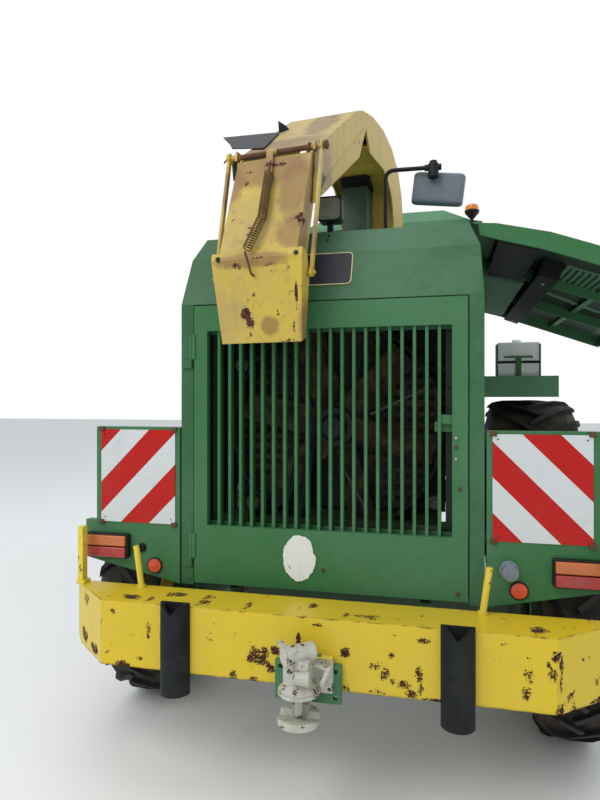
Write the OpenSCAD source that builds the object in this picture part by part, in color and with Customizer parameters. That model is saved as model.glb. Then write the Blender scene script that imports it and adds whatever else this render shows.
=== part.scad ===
// Self-propelled forage harvester, seen from behind, spout folded back over the engine hood.
// X to the right, Y forward, Z up, millimetres; the rear end looks along -Y.

/* [Body] */

// Length from the hood's rear face to the middle of the machine
rear_to_middle = 2110; // [2000:5:2250]
// Half width of the engine hood
hood_half = 650; // [560:5:720]
// Length of the engine hood
hood_length = 2320; // [2150:5:2360]
// Height of the flat top of the hood
hood_top = 2360; // [2240:5:2420]
// Thickness of the sheet panels as whole walls
panel_t = 14; // [8:1:20]
// Opening angle of the right side cover
cover_open = 70; // [55:1:78]
// Lower edge of the side covers
cover_low = 1300; // [1290:5:1400]

/* [Grille] */

// Number of flat bars in the rear door
bar_count = 20; // [12:1:26]
// Distance from bar to bar
bar_pitch = 50; // [38:1:56]
// Thickness of one bar
bar_t = 13; // [8:1:16]
// Depth of one bar
bar_depth = 40; // [25:1:46]
// Height of the grille opening above ground
grille_low = 1046; // [1040:1:1120]
// Top of the grille opening
grille_high = 1904; // [1780:1:1930]

/* [Wheels] */

// Place of the drive axle ahead of the hood's rear face
drive_w = 2950; // [2900:5:3000]
// Place of the steering axle ahead of the hood's rear face
steer_w = 680; // [670:5:720]
// Outer diameter of a drive tyre
drive_od = 1600; // [1540:10:1610]
// Width of a drive tyre
drive_width = 680; // [640:5:700]
// Distance of a drive wheel's middle from the centre line
drive_u = 1190; // [1185:5:1210]
// Outer diameter of a steering tyre
steer_od = 1104; // [1060:4:1120]
// Width of a steering tyre
steer_width = 284; // [250:2:300]
// Distance of a steering wheel's middle from the centre line
steer_u = 1050; // [1040:5:1080]
// Distance of a kingpin from the centre line
kingpin_u = 860; // [850:5:870]
// Lugs on each side of a drive tyre
drive_lugs = 20; // [16:1:24]
// Lugs on each side of a steering tyre
steer_lugs = 20; // [16:1:24]

/* [Spout] */

// Angle of the spout to the left of straight back
spout_turn = 6.8; // [0:0.1:12]
// Width of the spout
spout_width = 372; // [368:2:376]
// Place of the turret ahead of the hood's rear face
turret_w = 1770; // [1740:5:1790]
// Thickness of the spout's sheets
spout_t = 10; // [6:1:14]

/* [Bumper] */

// Height of the counterweight bumper
bumper_h = 262; // [220:2:280]
// Lower edge of the bumper above ground
bumper_low = 521; // [500:1:540]
// Half width of the bumper between its chamfers
bumper_half = 873; // [800:1:900]

/* [Cab] */

// Half width of the cab
cab_half = 760; // [700:5:790]
// Top of the cab's roof
roof_top = 3190; // [3120:5:3240]
// Number of steps of the ladder
step_count = 4; // [3:1:5]

/* [Hidden] */

rear_y = -rear_to_middle;
drive_r = drive_od / 2;
steer_r = steer_od / 2;
eaves_v = roof_top - 140;
roll_places = [[drive_w + 1410, 800], [drive_w + 1450, 560]];
cab_back = 2700;
cab_front = 4250;
floor_v = 1740;
crease_low = 2025;
crease_high = 2245;
hinge_u = 592;
hinge_v = 2368;
hinge_places = [300, 1180, hood_length - 260];
door_hinges = [900, 1780];
cab_hinges = [floor_v + 220, eaves_v - 270];
kingpin_d = 52;
deck_back = drive_w - 590;
deck_front = drive_w + 490;
deck_out = 1336;
fan_v = 1475;
run = 0.1;
lift_axis = [-140, 2690];
link_axis = [1781, 2668];
flap_axis = [1775, 2644];
fold_axis = [1972, 2178];
pin_axis = [1920, 2108];
pin_slack = 3.4;
green = [0.11, 0.33, 0.16];
dark_green = [0.08, 0.24, 0.12];
yellow = [0.85, 0.72, 0.15];
black = [0.08, 0.08, 0.08];
rubber = [0.1, 0.1, 0.11];
steel = [0.35, 0.35, 0.35];
white = [0.85, 0.85, 0.82];
glass = [0.5, 0.6, 0.62];

// Everything is drawn ahead of the hood's rear face: u right, w forward, v up
module machine()
    translate([0, rear_y, 0]) children();

// A box from its two corners
module block(u0, u1, w0, w1, v0, v1)
    translate([u0, w0, v0]) cube([u1 - u0, w1 - w0, v1 - v0]);

// A round bar along u, w or v
module bar_u(u0, u1, w, v, d)
    translate([u0, w, v]) rotate([0, 90, 0]) cylinder(h = u1 - u0, d = d, $fn = 48);
module bar_w(u, w0, w1, v, d)
    translate([u, w0, v]) rotate([-90, 0, 0]) cylinder(h = w1 - w0, d = d, $fn = 48);
module bar_v(u, w, v0, v1, d)
    translate([u, w, v0]) cylinder(h = v1 - v0, d = d, $fn = 48);

// A round bar between two points
module rod(a, b, d) {
    way = b - a;
    translate(a) rotate([0, acos(way[2] / norm(way)), atan2(way[1], way[0])])
        cylinder(h = norm(way), d = d, $fn = 48);
}

// The same thing on both sides of the centre line
module both() {
    children();
    mirror([1, 0, 0]) children();
}

// An outline in w and v, as wide as u0 to u1
module side_plate(u0, u1)
    translate([u0, 0, 0]) rotate([90, 0, 90]) linear_extrude(height = u1 - u0) children();

// An outline in u and v, as deep as w0 to w1
module rear_plate(w0, w1)
    translate([0, w1, 0]) rotate([90, 0, 0]) linear_extrude(height = w1 - w0) children();

// Frame of two rails, cross beams, posts under the cab and carriers for the bumper
module chassis() color(dark_green) machine() {
    post_w = hood_length - 90;
    both() block(360, 480, 60, drive_w + 1050, 940, 1080);
    block(-360, 360, 300, 400, 940, 965);
    block(-360, 360, 2150, 2250, 960, 1080);
    block(-1000, 1000, 60, 100, 970, 1030);
    both() {
        block(398, 442, -70, 130, 545, 770);
        block(398, 442, 60, 130, 700, 940);
        block(500, 552, 90, 150, 1030, 1990);
        block(480, 552, 90, 150, 1000, 1080);
        block(552, hood_half - panel_t, 90, 150, 1400, 1440);
        block(500, 552, post_w, post_w + 60, 1080, hood_top - panel_t);
        block(480, 552, post_w, post_w + 60, 1020, 1080);
        block(552, hood_half - panel_t, post_w, post_w + 60, 1160, 1200);
        for (w = [drive_w - 390, drive_w + 430]) {
            block(400, 480, w, w + 80, 1080, 1700);
            block(480, 770, w, w + 80, 1640, 1700);
        }
        block(400, 480, drive_w + 880, drive_w + 960, 1080, 1700);
    }
    block(-70, 70, 560, 800, 712, 940);
    block(-360, 360, 560, 800, 940, 1040);
}

// Engine as one plain block on four feet
module engine() color([0.16, 0.3, 0.18]) machine() {
    block(-330, 330, 760, 1560, 1100, 1640);
    block(-230, 230, 860, 1480, 860, 1100);
    both() {
        block(310, 470, 860, 940, 1080, 1110);
        block(310, 470, 1380, 1460, 1080, 1110);
    }
    block(-200, 200, 820, 1500, 1640, 1760);
    bar_w(0, 640, 760, 1475, 220);
}

// Cooler core with tanks, the shroud plate with its ring around the fan, and the fan's boss
module radiator() color([0.3, 0.2, 0.13]) machine() {
    block(-480, 480, 400, 500, 1120, 1880);
    block(-500, 500, 390, 510, 1880, 1960);
    block(-500, 500, 390, 510, 1080, 1120);
    difference() {
        union() {
            block(-500, 500, 376, 390, 1080, 1990);
            block(-340, 340, 376, 390, 972, 1080);
        }
        translate([0, 300, fan_v]) rotate([-90, 0, 0]) cylinder(h = 200, d = 960, $fn = 96);
    }
    block(-480, 480, 389, 401, 1110, 1890);
    difference() {
        translate([0, 236, fan_v]) rotate([-90, 0, 0]) cylinder(h = 150, d = 984, $fn = 96);
        translate([0, 230, fan_v]) rotate([-90, 0, 0]) cylinder(h = 170, d = 964, $fn = 96);
    }
    bar_w(0, 345.3, 400, fan_v, 90);
}

// Fan with a hub and six broad pitched blades
module fan() color(black) machine() translate([0, 300, fan_v]) rotate([-90, 0, 0]) {
    translate([0, 0, -45]) cylinder(h = 90, d = 190, $fn = 64);
    translate([0, 0, -60]) cylinder(h = 20, d = 120, $fn = 48);
    for (i = [0 : 5])
        rotate([0, 0, i * 60 + 13]) translate([80, 0, 0]) rotate([30, 0, 0])
            translate([0, -75, -4]) cube([384, 150, 8]);
}

// Outline of the hood across, grown inward by t
module hood_front(t)
    polygon([[-hood_half + t, 700], [-hood_half + t, crease_low], [-640 + t, crease_high],
        [-600 + t * 0.7, hood_top - t], [600 - t * 0.7, hood_top - t], [640 - t, crease_high],
        [hood_half - t, crease_low], [hood_half - t, 700]]);

// Outline of the hood along the machine
module hood_side(t)
    polygon([[t, 700], [t, crease_low - t * 0.3], [100 + t, crease_high - t * 0.3],
        [182 + t * 0.6, hood_top - t], [hood_length + t, hood_top - t], [hood_length + t, 700]]);

module hood_solid(t) intersection() {
    rear_plate(-10, hood_length + 20) hood_front(t);
    side_plate(-hood_half - 20, hood_half + 20) hood_side(t);
}

// Space of one side cover, used to cut the hood
module cover_space(g)
    block(590, 700, 200 - g, hood_length - 20 + g, cover_low - g, 2400);

// Shell of the engine hood: top, sloping rear panel, rear frame and low side sheets
module hood() color(green) machine() {
    difference() {
        intersection() {
            difference() {
                hood_solid(0);
                hood_solid(panel_t);
            }
            block(-700, 700, -5, hood_length, 778, 2400);
        }
        block(-592, 592, -20, 60, 700, 2022);
        both() {
            cover_space(6);
            block(400, 700, 160, 2400, 700, 1130);
            block(600, 700, 54, 170, 700, 1060);
        }
        block(-226, 226, turret_w - 176, turret_w + 176, 2300, 2400);
    }
    both() block(566, hood_half - 4, 40, 54, 1062, 2016);
    for (w = hinge_places) both() cover_barrel(w);
    for (v = door_hinges) {
        bar_v(-602, -8, v - 40, v - 0.3, 16);
        block(-640, -602, -10, 0, v - 38, v - 2);
    }
}

// Barrel of a cover's hinge on the hood's edge
module cover_barrel(w) {
    bar_w(hinge_u, w, w + 70, hinge_v, 16);
    block(555, hinge_u, w, w + 70, hood_top - 4, hood_top + 6);
}

// Rear door: frame, lower panel and the upright bars, hung on the left
module rear_door() color(green) machine() {
    difference() {
        block(-587, 587, -6, 30, 790, 2017);
        block(-525, 525, -20, 60, grille_low, grille_high);
        block(-572, 572, 6, 60, 800, grille_low - 14);
        block(-572, 572, 6, 60, grille_high + 14, 2003);
        block(-572, -539, 6, 60, 1000, 1950);
        block(539, 572, 6, 60, 1000, 1950);
    }
    for (i = [0 : bar_count - 1])
        translate([(i - (bar_count - 1) / 2) * bar_pitch - bar_t / 2, 8, grille_low - 8])
            cube([bar_t, bar_depth, grille_high - grille_low + 16]);
    block(-531, 531, 48, 54, grille_low - 10, grille_low + 12);
    block(-531, 531, 48, 54, grille_high - 12, grille_high + 10);
    block((bar_count - 1) / 2 * bar_pitch + bar_t / 2 - 1, 531, 14, 48, 1503, 1540);
    for (v = door_hinges) {
        bar_v(-602, -8, v, v + 110, 16);
        block(-600, -580, -12, -4, v, v + 110);
    }
}

// Side cover drawn shut on the right: skin, flanges, ribs and hinge barrels
module cover_shut() {
    w0 = 206;
    w1 = hood_length - 26;
    rear_plate(w0, w1)
        polygon([[596, 2354], [624, 2252], [650, 2030], [650, cover_low],
            [636, cover_low], [636, 2030], [610, 2249], [596, 2322]]);
    difference() {
        rear_plate(w0, w1)
            polygon([[598, 2318], [614, 2249], [640, 2030], [640, cover_low],
                [574, cover_low], [574, crease_low], [560, 2215], [557, 2300], [588, 2318]]);
        block(500, 700, w0 + 12, 860, cover_low + 14, 2400);
        block(500, 700, 872, 1560, cover_low + 14, 2400);
        block(500, 700, 1572, w1 - 12, cover_low + 14, 2400);
    }
    block(610, 638, w0 + 6, w1 - 6, 1640, 1670);
    for (w = hinge_places) rear_plate(w + 70.3, w + 140)
        polygon([[hinge_u - 4, hinge_v + 6], [hinge_u + 4, hinge_v + 6], [606, 2340], [606, 2330],
            [597, 2330], [597, 2350], [hinge_u - 4, hinge_v - 5]]);
    for (w = hinge_places) bar_w(hinge_u, w + 70.3, w + 140, hinge_v, 16);
}

module cover_right() color(green) machine()
    translate([hinge_u, 0, hinge_v]) rotate([0, -cover_open, 0])
        translate([-hinge_u, 0, -hinge_v]) cover_shut();

module cover_left() color(green) machine() mirror([1, 0, 0]) cover_shut();

// Lower rear side panels that carry the boards and lamps
module rear_panels() color(green) machine() both() {
    difference() {
        rear_plate(0, 40)
            polygon([[658, 777], [1130, 873], [1130, 1045], [1074, 1045], [1074, 1478], [658, 1478]]);
        rear_plate(12, 60)
            polygon([[670, 790], [1118, 882], [1118, 1033], [1062, 1033], [1062, 1466], [670, 1466]]);
    }
    block(760, 800, 10, 60, 975, 1025);
}

// Two square warning boards with their striped faces outward
module warning_boards() color(white) machine() both()
    difference() {
        block(680, 1048, -5, 0, 1042, 1465);
        for (u = [700, 1028]) for (v = [1062, 1445]) bar_w(u, -10, 10, v, 8);
    }

// Tail lamps, reflectors, sockets, beacon and work lamps
module lamps() color([0.75, 0.2, 0.08]) machine() {
    both() {
        block(900, 1115, -45, 0, 880, 990);
        bar_w(779, -12, 0, 852, 72);
        block(560, 740, cab_front + 100, cab_front + 174, eaves_v - 90, eaves_v);
    }
    difference() {
        bar_w(742, -62, 0, 931, 74);
        bar_w(742, -70, -30, 931, 58);
    }
    bar_w(-843, -14, 0, 929, 40);
    bar_v(716, cab_back - 110, roof_top - 55, roof_top + 2, 110);
    bar_v(716, cab_back - 110, roof_top - 73, roof_top - 55, 126);
    bar_v(716, cab_back - 110, eaves_v - 30, roof_top - 73, 26);
    block(690, 742, cab_back - 124, cab_back, eaves_v - 50, eaves_v - 30);
    difference() {
        translate([-95, 480, hood_top + 180]) rotate([-90, 0, 0])
            linear_extrude(height = 90)
                polygon([[-64, 56], [64, 56], [66, 30], [52, -56], [-52, -56], [-66, 30]]);
        translate([-95, 470, hood_top + 180]) rotate([-90, 0, 0])
            linear_extrude(height = 30)
                polygon([[-57, 49], [57, 49], [59, 26], [46, -49], [-46, -49], [-59, 26]]);
    }
    block(-110, -80, 520, 545, hood_top, hood_top + 126);
    block(-150, -40, 505, 560, hood_top, hood_top + 10);
}

// Counterweight bumper with slanted ends
module bumper() color(yellow) machine()
    translate([0, 0, bumper_low]) difference() {
        linear_extrude(height = bumper_h)
            polygon([[-1100, -100], [-bumper_half, -290], [bumper_half, -290], [1100, -100],
                [1100, -70], [-1100, -70]]);
        for (s = [-1, 1])
            translate([s * 1130, -85, -30]) rotate([0, s * 35, 0]) cube([120, 200, 160], center = true);
    }

// Upright rods and lamp guards standing on the bumper
module bumper_guards() color(yellow) machine() {
    top = bumper_low + bumper_h;
    translate([-790, -105, top]) rotate([0, -8, 0]) translate([0, 0, 2])
        cylinder(h = 180, d = 26, $fn = 40);
    bar_v(-790, -105, top, top + 12, 36);
    translate([636, -105, top]) rotate([0, 8, 0]) translate([0, 0, 2])
        cylinder(h = 180, d = 26, $fn = 40);
    bar_v(636, -105, top, top + 12, 36);
    both() {
        block(1076, 1100, -110, -74, top, top + 250);
        block(1060, 1100, -122, -74, top, top + 14);
    }
}

// Hollow rubber buffers with a notch in the upper end
module buffers() color(rubber) machine() both()
    translate([541, -290, 445]) difference() {
        linear_extrude(height = 355) difference() {
            intersection() {
                circle(r = 61, $fn = 80);
                translate([-60, -62]) square([120, 62]);
            }
            intersection() {
                circle(r = 43, $fn = 80);
                translate([-60, -62]) square([120, 50]);
            }
        }
        translate([0, -60, 355]) rotate([0, 45, 0]) cube([52, 90, 52], center = true);
    }

// Hitch plate bolted to the bumper
module hitch_plate() color(green) machine() {
    difference() {
        block(-126, 126, -314, -290, 480, 622);
        for (u = [-104, 104]) for (v = [502, 600]) bar_w(u, -330, -280, v, 18);
    }
    block(-50, 50, -312, -290, 622, 650);
}

// Automatic coupling: flange, cast body, spring barrel, bell over the pin, handle and lower jaw
module hitch_coupling() color(white) machine() {
    pin = [-14, -398];
    difference() {
        block(-90, 98, -330, -314, 526, 648);
        for (u = [-76, 84]) for (v = [540, 634]) bar_w(u, -340, -300, v, 14);
    }
    block(-62, 30, -436, -330, 586, 680);
    block(-40, 12, -420, -330, 560, 600);
    translate([-58, -442, 692]) rotate([0, 90, 42]) cylinder(h = 118, d = 66, $fn = 64);
    rod([-52, -420, 712], [-78, -432, 742], 20);
    bar_u(-20, 36, -440, 622, 50);
    translate([pin[0], pin[1], 552]) cylinder(h = 14, d = 150, $fn = 80);
    translate([pin[0], pin[1], 565.9]) cylinder(h = 26, d1 = 142, d2 = 84, $fn = 80);
    bar_v(pin[0], pin[1], 470, 553, 30);
    difference() {
        translate([pin[0], pin[1], 446]) cylinder(h = 30, d = 154, $fn = 80);
        translate([pin[0], pin[1] - 40, 470]) rotate([-16, 0, 0]) block(-120, 120, -80, 60, 0, 60);
    }
    block(-44, 16, -380, -314, 446, 500);
    block(-34, 6, -350, -314, 490, 570);
    rod([20, -364, 641], [92, -384, 638], 17);
    rod([92, -384, 638], [62, -402, 572], 17);
    translate([92, -384, 638]) sphere(d = 21, $fn = 40);
}

// Beam of the steering axle, hung under the frame on a pin, with an eye for each kingpin
module rear_axle() color(dark_green) machine() {
    reach = kingpin_u - 60;
    difference() {
        union() {
            block(-reach, reach, steer_w - 70, steer_w + 70, steer_r - 72, steer_r + 68);
            block(-110, 110, steer_w - 62, steer_w + 62, steer_r + 68, 712);
            both() {
                block(reach - 10, kingpin_u, steer_w - 42, steer_w + 42, steer_r - 82, steer_r + 82);
                bar_v(kingpin_u, steer_w, steer_r - 82, steer_r + 82, 92);
            }
        }
        both() bar_v(kingpin_u, steer_w, 400, 700, kingpin_d + run);
    }
}

// One steering knuckle drawn on the right: fork, pin and stub axle
module knuckle() {
    bar_v(kingpin_u, steer_w, steer_r - 122, steer_r + 122, kingpin_d);
    for (v = [steer_r - 120, steer_r + 90])
        block(kingpin_u - 40, kingpin_u + 80, steer_w - 50, steer_w + 50, v, v + 30);
    block(kingpin_u + 54, kingpin_u + 88, steer_w - 50, steer_w + 50, steer_r - 112, steer_r + 108);
    bar_u(kingpin_u + 80, steer_u + 10, steer_w, steer_r, 76);
    bar_u(kingpin_u + 85, steer_u - 66, steer_w, steer_r, 120);
    block(kingpin_u - 25, kingpin_u + 25, steer_w + 40, steer_w + 230, steer_r - 122, steer_r - 96);
}

module knuckle_right() color(steel) machine() knuckle();
module knuckle_left() color(steel) machine() mirror([1, 0, 0]) knuckle();

// Ring around the u axis from an outline of radius and width
module wheel_ring()
    rotate([0, 90, 0]) rotate_extrude($fn = 96) children();

// Tyre: carcass around the rim and slanted lugs on both halves
module tyre(r, width, rim_r, lugs, lug_h, lug_w) {
    h = width / 2;
    body_r = r - lug_h;
    wheel_ring() difference() {
        polygon([[rim_r, -h * 0.62], [rim_r + 28, -h * 0.72], [rim_r + (body_r - rim_r) * 0.36, -h],
            [rim_r + (body_r - rim_r) * 0.66, -h], [body_r - 26, -h * 0.9], [body_r - 4, -h * 0.7],
            [body_r, 0], [body_r - 4, h * 0.7], [body_r - 26, h * 0.9],
            [rim_r + (body_r - rim_r) * 0.66, h], [rim_r + (body_r - rim_r) * 0.36, h],
            [rim_r + 28, h * 0.72], [rim_r, h * 0.62]]);
        polygon([[rim_r - 9, -h * 0.42], [rim_r + 40, -h * 0.6], [body_r - 60, -h * 0.7],
            [body_r - 60, h * 0.7], [rim_r + 40, h * 0.6], [rim_r - 9, h * 0.42]]);
    }
    intersection() {
        wheel_ring() polygon([[body_r - 46, -h * 0.98], [r - 44, -h * 0.95], [r - 16, -h * 0.84],
            [r - 4, -h * 0.6], [r, 0], [r - 4, h * 0.6], [r - 16, h * 0.84], [r - 44, h * 0.95],
            [body_r - 46, h * 0.98]]);
        for (side = [-1, 1]) for (i = [0 : lugs - 1])
            rotate([(i + (side + 1) * 0.25) * 360 / lugs, 0, 0]) translate([side * h * 0.46, 0, body_r])
                rotate([0, 0, side * 40])
                    translate([-h * 0.78, -lug_w / 2, -30]) cube([h * 1.56, lug_w, lug_h + 40]);
    }
}

// Rim with a dished disc and holes for the hub bolts
module rim(rim_r, half, disc_x, hub_r, bolt_r, bolts) {
    wheel_ring() polygon([[rim_r - 10, -half], [rim_r + 16, -half], [rim_r + 16, -half + 8],
        [rim_r, -half + 14], [rim_r - 1, half - 14], [rim_r + 16, half - 8], [rim_r + 16, half],
        [rim_r - 10, half]]);
    difference() {
        wheel_ring() polygon([[hub_r, disc_x - 8], [bolt_r + 40, disc_x - 8],
            [rim_r - 60, disc_x - 50], [rim_r - 5, disc_x - 50], [rim_r - 5, disc_x - 34],
            [rim_r - 54, disc_x - 34], [bolt_r + 46, disc_x + 8], [hub_r, disc_x + 8]]);
        for (i = [0 : bolts - 1]) rotate([i * 360 / bolts, 0, 0])
            translate([disc_x - 20, 0, bolt_r]) rotate([0, 90, 0]) cylinder(h = 40, d = 22, $fn = 24);
    }
}

module steer_rim() {
    rim(302, 110, 36, 45, 88, 6);
    translate([-60, 0, 0]) rotate([0, 90, 0]) difference() {
        union() {
            cylinder(h = 90, d = 110, $fn = 64);
            translate([0, 0, 80]) cylinder(h = 78, d = 130, $fn = 64);
        }
        translate([0, 0, -20]) cylinder(h = 110, d = 76 + run, $fn = 64);
    }
}

module at_steer(s) machine() translate([s * steer_u, steer_w, steer_r])
    rotate([0, 0, s < 0 ? 180 : 0]) children();
module at_drive(s) machine() translate([s * drive_u, drive_w, drive_r])
    rotate([0, 0, s < 0 ? 180 : 0]) children();

module steer_rim_left() color(yellow) at_steer(-1) steer_rim();
module steer_rim_right() color(yellow) at_steer(1) steer_rim();
module steer_tyre_left() color(rubber) at_steer(-1) tyre(steer_r, steer_width, 302, steer_lugs, 26, 24);
module steer_tyre_right() color(rubber) at_steer(1) tyre(steer_r, steer_width, 302, steer_lugs, 26, 24);

module drive_rim() {
    rim(322, 284, -60, 90, 200, 8);
    translate([-70, 0, 0]) rotate([0, 90, 0]) cylinder(h = 90, d = 230, $fn = 64);
}

module drive_rim_left() color(yellow) at_drive(-1) drive_rim();
module drive_rim_right() color(yellow) at_drive(1) drive_rim();
module drive_tyre_left() color(rubber) at_drive(-1) tyre(drive_r, drive_width, 322, drive_lugs, 40, 42);
module drive_tyre_right() color(rubber) at_drive(1) tyre(drive_r, drive_width, 322, drive_lugs, 40, 42);

// Drive axle: gearbox in the middle, tubes and final drives
module front_axle() color(dark_green) machine() {
    bar_u(-700, 700, drive_w, drive_r, 200);
    block(-180, 180, drive_w - 120, drive_w + 100, 650, 900);
    both() {
        bar_u(700, 980, drive_w, drive_r, 380);
        bar_u(980, drive_u - 70, drive_w, drive_r, 200);
        block(370, 470, drive_w - 110, drive_w + 110, 780, 940);
    }
}

// Feed house with an open mouth, cutter housing behind it and the duct up to the turret
module crop_housing() color(green) machine() {
    w = drive_w;
    t = turret_w;
    difference() {
        union() {
            side_plate(-355, 355)
                polygon([[w + 750, 450], [w + 1570, 420], [w + 1750, 470], [w + 1750, 560],
                    [w + 1610, 1000], [w + 750, 1080]]);
            translate([-350, w + 610, 740]) rotate([0, 90, 0]) cylinder(h = 700, d = 760, $fn = 96);
            side_plate(-215, 215)
                polygon([[w + 330, 800], [w + 500, 1070], [t + 480, 1800], [t + 165, 2180],
                    [t + 165, 2396], [t - 165, 2396], [t - 165, 2060], [t + 280, 1560]]);
        }
        side_plate(-335, 335)
            polygon([[w + 700, 480], [w + 1850, 440], [w + 1850, 900], [w + 1590, 965], [w + 700, 1050]]);
        translate([-330, w + 610, 740]) rotate([0, 90, 0]) cylinder(h = 660, d = 720, $fn = 96);
        for (c = roll_places) bar_u(-400, 400, c[0], c[1], 60 + run);
        side_plate(-200, 200)
            polygon([[w + 410, 790], [w + 550, 1022], [t + 473, 1784], [t + 150, 2174],
                [t + 150, 2410], [t - 150, 2410], [t - 150, 2066], [t + 288, 1573]]);
    }
    block(-470, 470, w + 1610, w + 1650, 396, 460);
    both() block(340, 360, w + 750, w + 950, 960, 1060);
}

// Feed roll with bars around a drum, on its shaft
module feed_roll(d) {
    rotate([0, 90, 0]) {
        translate([0, 0, -325]) cylinder(h = 650, d = d - 60, $fn = 72);
        translate([0, 0, -353]) cylinder(h = 706, d = 60, $fn = 64);
        for (i = [0 : 9]) rotate([0, 0, i * 36]) translate([d / 2 - 34, -8, -320]) cube([34, 16, 640]);
    }
}

module feed_roll_upper() color(steel) machine()
    translate([0, roll_places[0][0], roll_places[0][1]]) feed_roll(270);
module feed_roll_lower() color(steel) machine()
    translate([0, roll_places[1][0], roll_places[1][1]]) feed_roll(180);

// Coordinates of the spout: s runs back from the turret, then sideways x and up v
module in_spout() machine() translate([0, turret_w, 0]) rotate([0, 0, -spout_turn]) children();

// An outline in s and v across the spout from x0 to x1
module spout_plate(x0, x1)
    translate([x0, 0, 0]) rotate([90, 0, 90]) linear_extrude(height = x1 - x0)
        mirror([1, 0]) children();

// Turning base of the spout with ring, square neck, ears and the housing of the lift
module turret() color(green) in_spout() {
    difference() {
        union() {
            translate([0, 0, 2396.3]) cylinder(h = 44, d = 560, $fn = 96);
            block(-192, 192, -172, 162, 2438, 2644);
        }
        block(-182, 182, -160, 150, 2390, 2700);
    }
    block(-112, 54, -385, -225, 2438, 2985);
    block(-116, 58, -389, -221, 2950, 2970);
    block(-290, -112, -385, -290, 2438, 2716);
    block(-112, 54, -226, -170, 2438, 2560);
    both() difference() {
        union() {
            block(197, 213, 90, 175, 2500, 2725);
            block(190, 200, 90, 162, 2500, 2640);
        }
        spout_bar(190, 230, lift_axis, 40.1);
    }
}

module spout_line()
    polygon([[-165, 2660], [-165, 2900], [-115, 3060], [20, 3190], [220, 3262], [480, 3278],
        [760, 3240], [1000, 3170], [1130, 3110], [1775, 2668], [1813, 2418], [1076, 2888],
        [930, 3100], [830, 3002], [480, 3037], [330, 3010], [215, 2930], [170, 2800], [170, 2660]]);

module spout_hollow()
    polygon([[-155, 2600], [-155, 2898], [-106, 3054], [26, 3181], [222, 3252], [480, 3268],
        [758, 3230], [996, 3160], [1124, 3101], [1767, 2661], [1900, 2600], [1900, 2200], [1076, 2500],
        [900, 3000], [830, 3062], [480, 3097], [330, 3070], [190, 2980], [158, 2800], [158, 2600]]);

module spout_under()
    polygon([[170, 2600], [170, 2800], [200, 2976], [330, 3059], [480, 3086], [830, 3052], [900, 2990],
        [900, 2500], [300, 2500]]);

// Spout: closed elbow and a channel open below, with pivots and two rods at the end
module spout() color(yellow) in_spout() {
    h = spout_width / 2;
    difference() {
        spout_plate(-h, h) spout_line();
        spout_plate(-h + spout_t, h - spout_t) spout_hollow();
        spout_plate(-h + spout_t, h - spout_t) spout_under();
        spout_plate(-h + spout_t, h - spout_t)
            polygon([[1742, 2610], [1742, 2790], [1860, 2790], [1860, 2610]]);
    }
    spout_bar(-h - 46, h + 34, link_axis, 22);
    spout_bar(-h + 2, h - 2, flap_axis, 12);
    both() {
        spout_bar(h - 5, h + 20, lift_axis, 40);
        spout_plate(h - spout_t, h) polygon([[1737, 2668], [1765, 2690], [1797, 2690], [1804, 2646]]);
    }
}

// A round bar across the spout at a place given in s and v
module spout_bar(x0, x1, place, d)
    translate([x0, -place[0], place[1]]) rotate([0, 90, 0]) cylinder(h = x1 - x0, d = d, $fn = 64);

// Upper flap of the deflector with its eyes on the hinge rod, and a rod on its lower edge
module flap_upper() color(yellow) in_spout() {
    difference() {
        union() {
            spout_plate(-171, 171)
                polygon([[1787, 2641], [1801, 2636], [1980, 2190], [1968, 2182], [1880, 2150],
                    [1741, 2546], [1764, 2638]]);
            both() spout_bar(157, 171, flap_axis, 26);
        }
        spout_plate(-157, 157)
            polygon([[1792, 2629], [1969, 2184], [1850, 2100], [1681, 2500], [1731, 2720], [1792, 2720]]);
        spout_bar(-190, 190, flap_axis, 12 + run);
    }
    spout_bar(-200, 200, fold_axis, 16);
}

// Outline across the spout in x and v, from s0 to s1
module spout_across(s0, s1)
    translate([0, -s0, 0]) rotate([90, 0, 0]) linear_extrude(height = s1 - s0) children();

// Taper of the lower flap, t inside its side walls
module flap_taper(t)
    spout_across(1840, 2010) polygon([[-198 + t, 2250], [-198 + t, 2164], [-173 + t, 1790],
        [173 - t, 1790], [198 - t, 2164], [198 - t, 2250]]);

// Lower flap, nearly upright and narrower below, hung on the rod of the upper one, with link pins
module flap_lower() color(yellow) in_spout() {
    difference() {
        intersection() {
            spout_plate(-198, 198) polygon([[1996, 2164], [1940, 1832], [1896, 1850], [1896, 2110],
                [1950, 2190], [1990, 2196]]);
            flap_taper(0);
        }
        intersection() {
            spout_plate(-198, 198)
                polygon([[1985, 2164], [1930, 1830], [1850, 1800], [1850, 2200], [1990, 2240]]);
            flap_taper(12);
        }
        spout_bar(-220, 220, fold_axis, 16.1);
    }
    both() spout_bar(183, 226, pin_axis, 16);
}

// Two long link bars beside the flaps, on the spout's rod and the lower flap's pins
module flap_links() color(yellow) in_spout() {
    link_bar(210, 210);
    link_bar(-222, -216);
}

// One bar from x0 at the rod to x1 at the lower pin, with an eye at each end
module link_bar(x0, x1) {
    drop = link_axis[1] - pin_axis[1];
    back = pin_axis[0] - link_axis[0];
    run = sqrt(drop * drop + back * back + (x1 - x0) * (x1 - x0));
    difference() {
        union() {
            translate([x0, -link_axis[0], link_axis[1]]) rotate([-atan2(back, drop), 0, 0])
                rotate([0, 180 - asin((x1 - x0) / run), 0]) translate([-6, -11, 20])
                    cube([12, 22, run - 32]);
            spout_bar(x0 - 7, x0 + 7, link_axis, 46);
            spout_bar(x1 - 7, x1 + 7, pin_axis, 36);
        }
        spout_bar(x0 - 20, x0 + 20, link_axis, 22.1);
        spout_bar(x1 - 20, x1 + 20, pin_axis, 16 + pin_slack);
    }
}

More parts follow.
